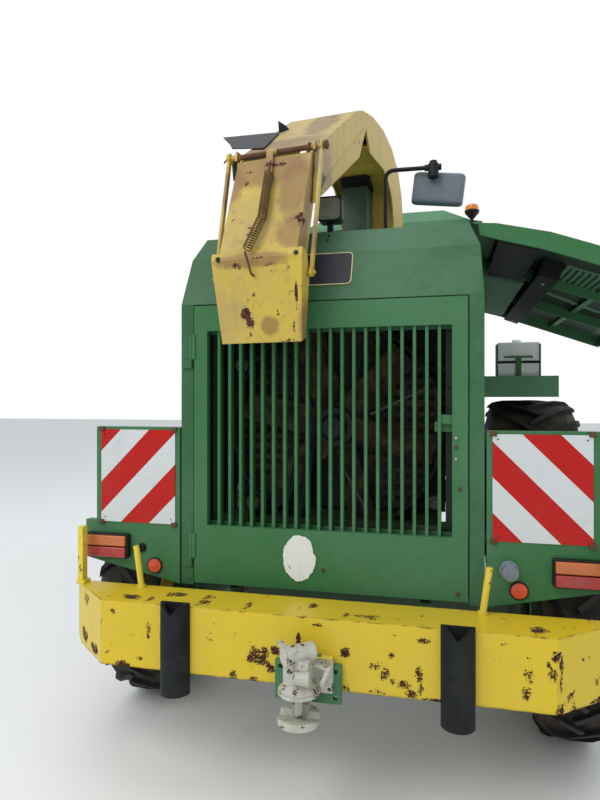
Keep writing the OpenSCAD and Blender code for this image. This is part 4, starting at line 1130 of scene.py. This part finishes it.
@dataclass
class DeflectorTrim:
    """Spring, strap, hook rod and pins on the folded flaps, and the black plate beside them."""

    frame: SpoutFrame
    rod: tuple[float, float] = (1.781, 2.668)
    face_top: tuple[float, float] = (1.801, 2.636)
    face_low: tuple[float, float] = (1.980, 2.190)
    coil_radius: float = 0.0175
    wire: float = 0.0026
    turns: tuple[int, int] = (26, 14)

    def build(self) -> None:
        """All trim of the deflector."""
        self.spring()
        self.pins()
        self.side_plate()

    def line(self, x: float, share: float, lift: float) -> np.ndarray:
        """A point over the upper flap: a share of the way down, lifted off its skin."""
        (s0, v0), (s1, v1) = self.face_top, self.face_low
        long = math.hypot(s1 - s0, v1 - v0)
        s = s0 + (s1 - s0) * share + (v0 - v1) / long * lift
        v = v0 + (v1 - v0) * share + (s1 - s0) / long * lift
        return self.frame.at(x, s, v)

    def spring(self) -> None:
        """Tension spring: a helix of round wire, closely wound above and drawn open below."""
        ends = ((0.004, 0.22, 0.030), (0.010, 0.69, 0.030), (-0.030, 1.01, 0.034))
        knots = np.array([self.line(*end) for end in ends])
        start, end = knots[0], knots[2]
        axis = unit(end - start)
        helper = unit(np.cross(axis, self.frame.side))
        other = np.cross(axis, helper)
        close, wide = self.turns
        t = np.linspace(0.0, close + wide, (close + wide) * 12)
        angle = t * FULL_TURN
        way = np.interp(t, [0.0, close, close + wide], [0.0, 1.0, 2.0])
        centre = np.stack([np.interp(way, [0.0, 1.0, 2.0], knots[:, i]) for i in range(3)], axis=1)
        spoke = np.cos(angle)[:, None] * helper + np.sin(angle)[:, None] * other
        path = centre + self.coil_radius * spoke
        tangent = unit(np.gradient(path, axis=0))
        out = unit(path - centre)
        over = np.cross(tangent, out)
        ring = np.linspace(0.0, FULL_TURN, 6, endpoint=False)
        section = np.cos(ring)[None, :, None] * out[:, None] + np.sin(ring)[None, :, None] * over[:, None]
        grid = path[:, None] + self.wire * section
        piece("flap_spring", skin(grid, True, True), KIT.spring, "upper_flap", angle=80.0)
        way = np.stack([self.line(-0.006, 0.06, 0.016), self.line(-0.004, 0.16, 0.024), start])
        hook = tube(way, 0.004, 12)
        piece("spring_hook", hook, KIT.rust, "upper_flap", angle=60.0)
        f = self.frame
        bends = ((-0.030, 2.030, 2.186), (-0.026, 2.030, 2.172), (-0.014, 2.004, 2.100), (-0.012, 1.984, 2.096))
        tail = bent(f.rows(*bends), 0.006)
        piece("flap_hook_rod", tube(tail, 0.0045, 12), KIT.rust, "lower_flap", angle=60.0)
        low, high = self.line(0.000, 0.30, 0.008), self.line(-0.018, -0.05, 0.011)
        strap = np.array([[-0.0155, 0.0], [0.0155, 0.0], [0.0155, 1.0], [-0.0155, 1.0]])
        strap[:, 1] *= float(np.linalg.norm(high - low))
        made = plate(strap, low, f.side, high - low, 0.006)
        loop = f.bar((-0.034, *self.rod), (-0.002, *self.rod), 0.016, 28)
        piece("spring_strap", made + loop, KIT.flap, "upper_flap", 0.001)

    def pins(self) -> None:
        """Collars and cotter ends on the rods, and bolt heads beside the fold."""
        f = self.frame
        collars = [f.bar((x, *self.rod), (x + 0.013, *self.rod), 0.019) for x in (-0.184, 0.148, 0.222)]
        piece("rod_collars", collars, KIT.rust, "spout_arm")
        bare = ((-0.168, -0.040), (0.004, 0.146))
        crust = [f.bar((left, *self.rod), (right, *self.rod), 0.0117, 28) for left, right in bare]
        piece("rod_crust", crust, KIT.rust, "spout_arm")
        s, v = self.rod
        clip = f.rows((-0.236, s - 0.02, v + 0.02), (-0.236, s + 0.026, v - 0.024))
        piece("rod_cotter", tube(clip, 0.0035, 10), KIT.rust, "spout_arm")
        nuts = [bolt(f.at(x, 1.994, 2.172), tuple(f.back), 0.010) for x in (-0.168, 0.172)]
        piece("fold_bolts", nuts, KIT.black_paint, "lower_flap")

    def side_plate(self) -> None:
        """Black plate on the left of the channel, its upright fin and the hanging strip."""
        f = self.frame
        leaf = (
            (-0.51, 1.29, 3.006), (-0.14, 1.395, 2.934), (-0.10, 1.684, 2.736), (-0.302, 1.597, 2.796),
            (-0.369, 1.489, 2.870),
        )
        fin = ((-0.146, 1.39, 2.934), (-0.105, 1.35, 2.964), (-0.12, 1.36, 2.982), (-0.15, 1.39, 2.998))
        strip = ((-0.236, 1.735, 2.70), (-0.200, 1.735, 2.70), (-0.208, 1.735, 2.588), (-0.226, 1.735, 2.588))
        depths = (f.up * 0.005, f.back * 0.004, f.back * 0.006)
        sheets = [self.sheet(corners, depth) for corners, depth in zip((leaf, fin, strip), depths)]
        piece("spout_side_plate", sheets, KIT.plastic, "spout_arm", 0.001)
        # Black triangle where the wall opens at the crease: painted shade in the gap.
        gap_shade = ((0.1862, 1.725, 2.584), (0.1862, 1.661, 2.573), (0.1862, 1.725, 2.503))
        piece("wall_gap_shade", self.sheet(gap_shade, f.side * 0.001), KIT.plastic, "spout_arm")
        crease = f.bar((0.1855, 0.975, 3.085), (0.1855, 1.661, 2.578), 0.003, 12)
        nut = bolt(f.at(0.186, 1.728, 2.494), tuple(f.side), 0.009)
        piece("wall_crease", crease + nut, KIT.spout, "spout_arm")

    def sheet(self, corners: tuple[Point, ...], depth: np.ndarray) -> Shape:
        """A thin piece between corner points of the spout and the same points pushed by its depth."""
        face = self.frame.rows(*corners)
        return skin(np.stack([face, face + depth]), True, True)


@dataclass
class Bellows:
    """Ribbed rubber boot between the lift housing and the elbow."""

    frame: SpoutFrame
    low: float = 2.984
    half: float = 0.100
    centre_x: float = -0.034

    def build(self) -> None:
        """Boot of square rings whose reach swells and shrinks with height."""
        t = np.linspace(0.0, 1.0, 25)
        swell = self.half * (0.90 + 0.10 * np.cos(t * 4 * FULL_TURN))
        outline = rounded_rectangle(1.0, 0.96, 0.25, 4)
        deep, s_middle = 0.080, 0.305
        f, rows = self.frame, []
        for share, reach in zip(t, swell):
            x = self.centre_x + outline[:, 0] * reach
            s = s_middle + outline[:, 1] * deep * reach / self.half
            v = self.low + share * (0.030 + 0.42 * (s - 0.225))
            rows.append(f.middle + x[:, None] * f.side + s[:, None] * f.back + v[:, None] * f.up)
        boot = skin(np.stack(rows), True, True)
        piece("lift_boot", boot, KIT.rubber, "turret_base", angle=50.0)


@dataclass
class HoodMirror:
    """Mirror seen from behind on a bent tube, and the one beside the cab."""

    foot: tuple[float, float] = (0.165, 1.000)
    top: float = 2.925
    tube_radius: float = 0.012

    def build(self) -> None:
        """Bent tube, clamp and rounded shell with its glass."""
        hood_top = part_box("hood")[1].z - 0.014
        u, w = self.foot
        low, high = hood_top + 0.018, self.top
        corners = places((0.330, w, low), (u, w, low), (u, w, high), (0.450, w, high - 0.004))
        pole = tube(bent(corners, 0.055), self.tube_radius, 24)
        clamp = rod((0.435, w - 0.004, 2.860), (0.435, w - 0.004, 2.942), 0.030, 32)
        clamp = clamp + rod((0.435, w - 0.004, 2.942), (0.435, w - 0.004, 2.956), 0.022, 32)
        clamp = clamp + rod((0.385, w, self.top - 0.004), (0.480, w, self.top - 0.004), 0.018, 24)
        made = piece("mirror_tube", pole + clamp, KIT.plastic)
        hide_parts("mirrors")
        self.shell("hood_mirror", place(0.462, w + 0.085, 2.816), 0.146, 0.090, math.radians(-7.0), -1.0)
        arm_y, arm_v, shell_x = place(0.0, 4.152, 0.0)[1], 2.700, -1.525
        arm = bent([[-0.770, arm_y, arm_v], [shell_x, arm_y, arm_v], [shell_x, arm_y, arm_v - 0.12]], 0.03)
        root = slab((-0.800, arm_y - 0.05, arm_v - 0.028), (-0.742, arm_y + 0.02, arm_v + 0.028))
        piece("side_mirror_arm", tube(arm, 0.012, 20) + root, KIT.plastic)
        self.shell("side_mirror", np.array([shell_x, arm_y - 0.014, arm_v - 0.100]), 0.090, 0.160, 0.0, 1.0)

    def shell(
        self, name: str, centre: np.ndarray, half_u: float, half_v: float, tilt: float, face: float
    ) -> None:
        """A dished shell: a rounded rectangle that shrinks towards the back by a quarter circle."""
        share = np.array([0.0, 0.10, 0.45, 0.75, 0.93, 1.0])
        back = np.sqrt(1 - (1 - share) ** 2)
        size = 1.0 - 0.30 * share**3
        outline = rounded_rectangle(1.0, 1.0, 0.22, 7)
        c, s = math.cos(tilt), math.sin(tilt)
        across, upward = np.array([c, 0.0, s]), np.array([-s, 0.0, c])
        rows = [
            centre + face * np.array([0.0, 1.0, 0.0]) * 0.055 * depth
            + outline[:, :1] * half_u * scale * across + outline[:, 1:] * half_v * scale * upward
            for depth, scale in zip(back, size)
        ]
        front = centre + outline[:, :1] * half_u * 0.96 * across + outline[:, 1:] * half_v * 0.96 * upward
        dish = skin(np.stack([front, *rows]), True, True)
        piece(f"{name}_shell", dish, KIT.mirror_shell, angle=50.0)
        glass = plate(outline * np.array([half_u, half_v]) * 0.93, centre, across, upward, 0.003 * face)
        piece(f"{name}_glass", glass, KIT.mirror_glass)


@dataclass
class EngineBay:
    """What shows through the bars: the fan's hub cap, rods, hoses, bosses, baffles and the sill."""

    fan_centre: Point = (0.0, 0.300, 1.475)

    def build(self) -> None:
        """Parts between the door and the engine."""
        hub = [(-0.118, 0.0), (-0.118, 0.045), (-0.10, 0.062), (-0.066, 0.062), (-0.060, 0.090), (-0.046, 0.094)]
        cap = lathe(hub, place(*self.fan_centre), FORWARD)
        piece("fan_hub_cap", cap, KIT.black_paint, "fan_rotor")
        upper = rod((0.175, 0.180, 1.536), (0.430, 0.180, 1.655), 0.006)
        lower = rod((0.053, 0.180, 1.291), (0.147, 0.180, 1.127), 0.006)
        piece("bay_rods", upper + lower, KIT.dull)
        t = np.linspace(0.0, 1.0, 24)[:, None]
        hoses = []
        for x0, x1, z0, z1, r in (
            (-0.16, -0.10, 1.04, 1.38, 0.024), (-0.24, -0.17, 1.04, 1.30, 0.016),
            (-0.42, -0.30, 1.02, 1.16, 0.020)
        ):
            path = np.hstack([x0 + (x1 - x0) * t, 0.03 * np.sin(t * math.pi), z0 + (z1 - z0) * t])
            hoses.append(tube(place(0, 0.20, 0) + path, r, 16))
        piece("bay_hoses", hoses, KIT.hose)
        boss = [(0.0, 0.030), (0.020, 0.030), (0.028, 0.022), (0.022, 0.014), (0.022, 0.0)]
        middles = ((-0.41, 1.76), (-0.36, 1.13), (0.455, 1.16))
        bosses = [lathe(boss, place(u, 0.150, v), BACKWARD, 28) for u, v in middles]
        piece("bay_bosses", bosses, KIT.dull)
        baffles = [brick((u, 0.060, 1.030), (u + 0.005, 0.420, 1.980)) for u in (0.535, -0.540)]
        seals = [brick((u, 0.036, 0.800), (u + 0.032, 0.044, 1.064)) for u in (0.572, -0.604)]
        piece("bay_baffles", baffles + seals, KIT.plastic)
        shelf = brick((-0.50, 0.170, 1.035), (0.50, 0.250, 1.060))
        piece("bay_sill", shelf, KIT.green_dark, bevel=0.002)


@dataclass
class EngineTrim:
    """What the raised covers uncover on the engine block: ribs, manifolds, filters, hoses and pulleys."""

    side_u: float = 0.330
    low: float = 1.100
    high: float = 1.640
    cylinders: tuple[float, ...] = (0.84, 0.97, 1.10, 1.23, 1.36, 1.49)

    def build(self) -> None:
        """Parts on both long sides, on the top and at the rear end of the block."""
        u = self.side_u
        ribs = [
            brick((u, w - 0.016, self.low + 0.06), (u + 0.016, w + 0.016, self.high - 0.04))
            for w in self.cylinders
        ]
        sump = brick((u - 0.05, 0.80, self.low + 0.005), (u + 0.022, 1.52, self.low + 0.040))
        right = together([*ribs, sump])
        piece("engine_ribs", right + right.mirrored(), KIT.green_dark, bevel=0.003)
        out = u + 0.060
        bends = places((out, 0.80, 1.53), (out, 1.50, 1.53), (out, 1.60, 1.66), (u - 0.02, 1.66, 2.02))
        pipe = tube(bent(bends, 0.06), 0.034, 24)
        branches = [rod((u - 0.01, w, 1.50), (u + 0.055, w, 1.53), 0.021) for w in self.cylinders]
        piece("exhaust_manifold", [pipe, *branches], KIT.rust)
        intake = [rod((-u + 0.01, w, 1.52), (-u - 0.05, w, 1.54), 0.020) for w in self.cylinders]
        intake.append(rod((-u - 0.062, 0.80, 1.545), (-u - 0.062, 1.54, 1.545), 0.036, 28))
        piece("intake_manifold", intake, KIT.dull)
        canister = [(0.0, 0.0), (0.0, 0.040), (0.012, 0.048), (0.150, 0.048), (0.166, 0.040), (0.166, 0.0)]
        filters = [lathe(canister, place(u + 0.055, w, 1.165), UPWARD, 32) for w in (1.12, 1.26)]
        cleaner = [
            (0.0, 0.0), (0.0, 0.10), (0.010, 0.118), (0.115, 0.120), (0.120, 0.125), (0.132, 0.125),
            (0.137, 0.120), (0.520, 0.120), (0.540, 0.09), (0.540, 0.0)
        ]
        filters.append(lathe(cleaner, place(0.05, 0.86, 1.940), FORWARD, 44))
        piece("engine_filters", filters, KIT.plastic)
        saddles = [brick((-0.03, w, 1.755), (0.13, w + 0.03, 1.850)) for w in (0.98, 1.28)]
        piece("cleaner_saddles", saddles, KIT.green_dark, bevel=0.002)
        caps = [brick((-0.15, w - 0.052, 1.758), (-0.055, w + 0.052, 1.800)) for w in self.cylinders]
        piece("rocker_covers", caps, KIT.dull, bevel=0.006)
        upper = places((0.30, 0.505, 1.90), (0.30, 0.64, 1.90), (0.24, 0.76, 1.70), (0.16, 0.84, 1.70))
        lower = places((-0.34, 0.505, 1.12), (-0.36, 0.66, 1.12), (-0.30, 0.74, 1.30), (-0.30, 0.79, 1.30))
        hoses = [tube(bent(path, 0.05), 0.031, 24) for path in (upper, lower)]
        piece("cooler_hoses", hoses, KIT.rubber)
        wheel = [
            (0.0, 0.0), (0.0, 1.0), (0.008, 1.04), (0.020, 0.86), (0.032, 1.04), (0.040, 1.0), (0.040, 0.0)
        ]
        pulleys = [
            lathe([(way, r * reach) for way, r in wheel], place(x, 0.70, z), FORWARD, 44)
            for x, z, reach in ((0.0, 1.20, 0.105), (0.235, 1.42, 0.052), (-0.235, 1.46, 0.060))
        ]
        piece("belt_pulleys", pulleys, KIT.dull)


@dataclass
class CoverInside:
    """Lining, channel, vent and bolts on the inner face of the raised right cover, with near-black pieces and a
    dark green sheet as painted shade.
    """

    hinge: tuple[float, float] = (0.592, 2.368)
    opening: float = math.radians(70.0)
    skin: float = 0.636
    bend: float = 2.03
    slope: float = 0.119

    def build(self) -> None:
        """Pieces in the closed cover's measures, turned with it."""
        ribs = [self.block(0.074, (w, w + 0.018), (2.030, 2.230)) for w in np.arange(0.96, 2.17, 0.042)]
        lining = self.block(0.066, (0.95, 2.19), (2.020, 2.240))
        piece("cover_lining", [lining, *ribs], KIT.green_inside, "right_cover", 0.001)
        vent = self.block(0.008, (0.565, 0.98), (1.64, 1.88))
        louvres = [self.block(0.018, (0.585, 0.96), (v, v + 0.014)) for v in np.arange(1.66, 1.87, 0.030)]
        piece("cover_louvres", [vent, *louvres], KIT.green_inside, "right_cover", 0.001)
        # Channel, near panel and lug in near-black: painted shade under the raised cover.
        channel = self.block(0.092, (0.55, 2.19), (1.895, 1.995))
        panel = self.block(0.066, (0.22, 0.90), (2.04, 2.22))
        lug = self.block(0.030, (1.667, 1.716), (1.512, 1.594))
        piece("cover_channel", channel + panel + lug, KIT.cover_shade_black, "right_cover", 0.002)
        # Dark green sheet over the cover's inner face: painted shade under the raised cover.
        shade_sheets = [self.block(0.005, (0.24, 2.20), heights) for heights in ((1.40, 2.028), (2.032, 2.235))]
        piece("cover_shade_sheet", shade_sheets, KIT.cover_shade_green, "right_cover")
        strip = self.strip((1.259, 1.884), (1.365, 1.536), 0.024, 0.012)
        piece("cover_strip", strip, KIT.green_inside, "right_cover", 0.001)
        inward = tuple(self.at(0.1, 1.0, 2.0) - self.at(0.0, 1.0, 2.0))
        bolts = [
            bolt(self.at(d, w, v), inward, 0.009)
            for d, w,
            v in (
                (0.0, 0.40, 1.60), (0.092, 0.70, 1.945), (0.092, 2.10, 1.945), (0.012, 1.32, 1.70),
                (0.0, 1.80, 1.60)
            )
        ]
        piece("cover_bolts", bolts, KIT.zinc, "right_cover")

    def at(self, depth: float, w: float, v: float) -> np.ndarray:
        """A point some depth inside the cover's skin, given where it lies on the closed cover."""
        lean = max(0.0, v - self.bend) * self.slope
        across, up = self.skin - lean - depth - self.hinge[0], v - self.hinge[1]
        c, s = math.cos(self.opening), math.sin(self.opening)
        return place(self.hinge[0] + across * c - up * s, w, self.hinge[1] + across * s + up * c)

    def strip(
        self, start: tuple[float, float], end: tuple[float, float], half: float, depth: float
    ) -> Shape:
        """A flat bar between two places on the skin."""
        way = unit(np.array(end) - np.array(start))
        side = np.array([-way[1], way[0]]) * half
        ring = [np.array(start) - side, np.array(end) - side, np.array(end) + side, np.array(start) + side]
        return skin(np.array([[self.at(d, w, v) for w, v in ring] for d in (-0.001, depth)]), True, True)

    def block(self, depth: float, w: tuple[float, float], v: tuple[float, float]) -> Shape:
        """A right-angled piece on the skin."""
        middle = (v[0] + v[1]) / 2
        return self.strip((w[0], middle), (w[1], middle), (v[1] - v[0]) / 2, depth)


@dataclass
class WheelTrim:
    """Nuts and hub caps of the four wheels.

    For each kind of wheel: the number of nuts, their circle's radius, how far out they sit, the hub cap's
    radius and how far it stands before the nuts' seat.
    """

    drive: tuple[int, float, float, float, float] = (8, 0.200, -0.052, 0.115, 0.062)
    steer: tuple[int, float, float, float, float] = (6, 0.088, 0.044, 0.050, 0.046)
    nut: float = 0.017

    def build(self) -> None:
        """Nuts in a circle around each hub."""
        for side in Side:
            word = side.name.lower()
            for kind, (count, circle, out, cap, step) in (("drive", self.drive), ("steer", self.steer)):
                low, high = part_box(f"{kind}_tyre_{word}")
                centre = np.array((low + high) / 2)
                axis = np.array([float(side.value), 0.0, 0.0])
                angle = np.arange(count) * FULL_TURN / count
                seats = [
                    centre + axis * out + np.array([0.0, math.sin(a) * circle, math.cos(a) * circle])
                    for a in angle
                ]
                nuts = [bolt(seat, tuple(axis), self.nut) for seat in seats]
                face = out + step
                dome = [
                    (face - 0.03, cap), (face, cap), (face + 0.008, cap - 0.01),
                    (face + 0.012, cap * 0.5), (face + 0.03, cap * 0.42), (face + 0.034, 0.0),
                ]
                hub = lathe(dome, centre, axis)
                body = f"{word}_{kind}_wheel"
                piece(f"{kind}_nuts_{word}", nuts, KIT.rust, body)
                piece(f"{kind}_hub_cap_{word}", hub, KIT.rim, body)


class DeckTrim:
    """Tank strap and bracket, the bumper's block, and small clips of the warning boards."""

    def build(self) -> None:
        """Bands around the tank, the block on the bumper and clips at the boards' corners."""
        low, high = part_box("white_tank")
        middle = (low.x + high.x) / 2
        back = low.y - 0.004
        bracket = slab((middle - 0.020, back - 0.008, low.z), (middle + 0.020, back, low.z + 0.150))
        left, right = middle - 0.105, middle + 0.105
        bracket = bracket + slab((left, back - 0.010, low.z + 0.140), (right, back - 0.001, low.z + 0.156))
        sides = [
            slab((x - 0.006, low.y - 0.006, low.z), (x + 0.006, low.y + 0.09, low.z + 0.25))
            for x in (low.x - 0.007, high.x + 0.007)
        ]
        piece("tank_bracket", [bracket, *sides], KIT.green, bevel=0.001)
        left, right = low.x - 0.004, high.x + 0.004
        strap = slab((left, back - 0.004, low.z + 0.100), (right, back + 0.004, low.z + 0.118))
        piece("tank_strap", strap, KIT.rubber, bevel=0.001)
        block = brick((0.000, -0.326, 0.624), (0.094, -0.290, 0.649))
        piece("bumper_block", block, KIT.guard, bevel=0.002)
        board_low, board_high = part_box("warning_boards")
        clips = [
            slab((side.value * u - 0.012, HOOD_BACK - 0.012, v), (side.value * u + 0.012, HOOD_BACK, v + 0.020))
            for side in Side
            for u in (0.684, 1.044)
            for v in (board_low.z - 0.012, board_high.z - 0.008)
        ]
        piece("board_clips", clips, KIT.rust, bevel=0.002)


@dataclass
class Studio:
    """Pale floor, even light and the camera at the photograph's place."""

    eye: Point = (0.492, -4.600, 1.600)
    heading: float = math.radians(13.47)
    lens: float = 27.0
    sky: float = 0.74
    sky_colour: Colour = (0.90, 0.95, 1.0, 1.0)
    floor: float = 40.0

    def build(self) -> None:
        """Floor, world, lamps and camera."""
        g = Graph(bpy.data.materials.new("studio_floor"))
        tone = g.noise(g.position(), 0.5, 3.0) * 0.03
        pale = g.mix(tone, srgb(240, 240, 238), srgb(214, 214, 212))
        floor = bpy.data.meshes.new("studio_floor")
        r = self.floor
        floor.from_pydata([(-r, -r, 0), (r, -r, 0), (r, r, 0), (-r, r, 0)], [], [(0, 1, 2, 3)])
        floor.materials.append(g.finish({"Base Color": pale, "Roughness": 0.9}))
        ground = add("studio_floor", floor)
        self.world()
        self.lamp("key", (-3.5, -8.0, 7.5), (0.0, -0.5, 1.5), 5.0, 330.0)
        self.lamp("fill", (6.0, 5.0, 6.0), (0.0, 0.0, 1.4), 6.0, 150.0)
        self.lamp("overhead", (-0.5, -1.5, 9.0), (0.0, -1.0, 0.0), 7.0, 150.0)
        data = bpy.data.cameras.new("photo_view")
        data.lens, data.sensor_width = self.lens, 36.0
        camera = add("photo_view", data)
        camera.location = self.eye
        camera.rotation_euler = (math.pi / 2, 0.0, self.heading)
        bpy.context.scene.camera = camera
        bpy.context.scene.view_settings.view_transform = "Standard"

    def world(self) -> None:
        """Even light from all round, and white where the camera or a clear surface looks out."""
        world = bpy.data.worlds.new("studio")
        bpy.context.scene.world = world
        g = Graph(world)
        camera, through = (
            g.node("ShaderNodeLightPath", {}, {}, f"Is {ray} Ray") for ray in ("Camera", "Transmission")
        )
        light, backdrop = (
            g.node("ShaderNodeBackground", {}, {"Color": colour, "Strength": strength})
            for colour, strength in ((self.sky_colour, self.sky), ((1.0, 1.0, 1.0, 1.0), 1.0))
        )
        both = g.node("ShaderNodeMixShader", {}, {0: camera.highest(through), 1: light, 2: backdrop})
        g.node("ShaderNodeOutputWorld", {}, {"Surface": both})

    def lamp(self, name: str, origin: Point, target: Point, size: float, power: float) -> None:
        """A large square lamp aimed at a point."""
        data = bpy.data.lights.new(name, "AREA")
        data.size, data.energy = size, power
        made = add(name, data)
        made.location = origin
        across, along, up = np.array(target) - np.array(origin)
        made.rotation_euler = (
            math.pi / 2 - math.atan2(-up, math.hypot(across, along)), 0.0, math.atan2(-across, along)
        )


def main() -> None:
    """Builds the looks in order."""
    logging.basicConfig(level=logging.INFO, format="%(name)s: %(message)s")
    Studio().build()
    Dressing().dress()
    spout = SpoutFrame()
    parts = [
        UpperPanel(), DoorTrim(), RearLamps(), DeflectorTrim(spout), Bellows(spout), HoodMirror(),
        EngineBay(), EngineTrim(), CoverInside(), WheelTrim(), DeckTrim(),
    ]
    for part in parts:
        part.build()
        LOG.info("%s done", type(part).__name__)


if __name__ == "__main__":
    main()
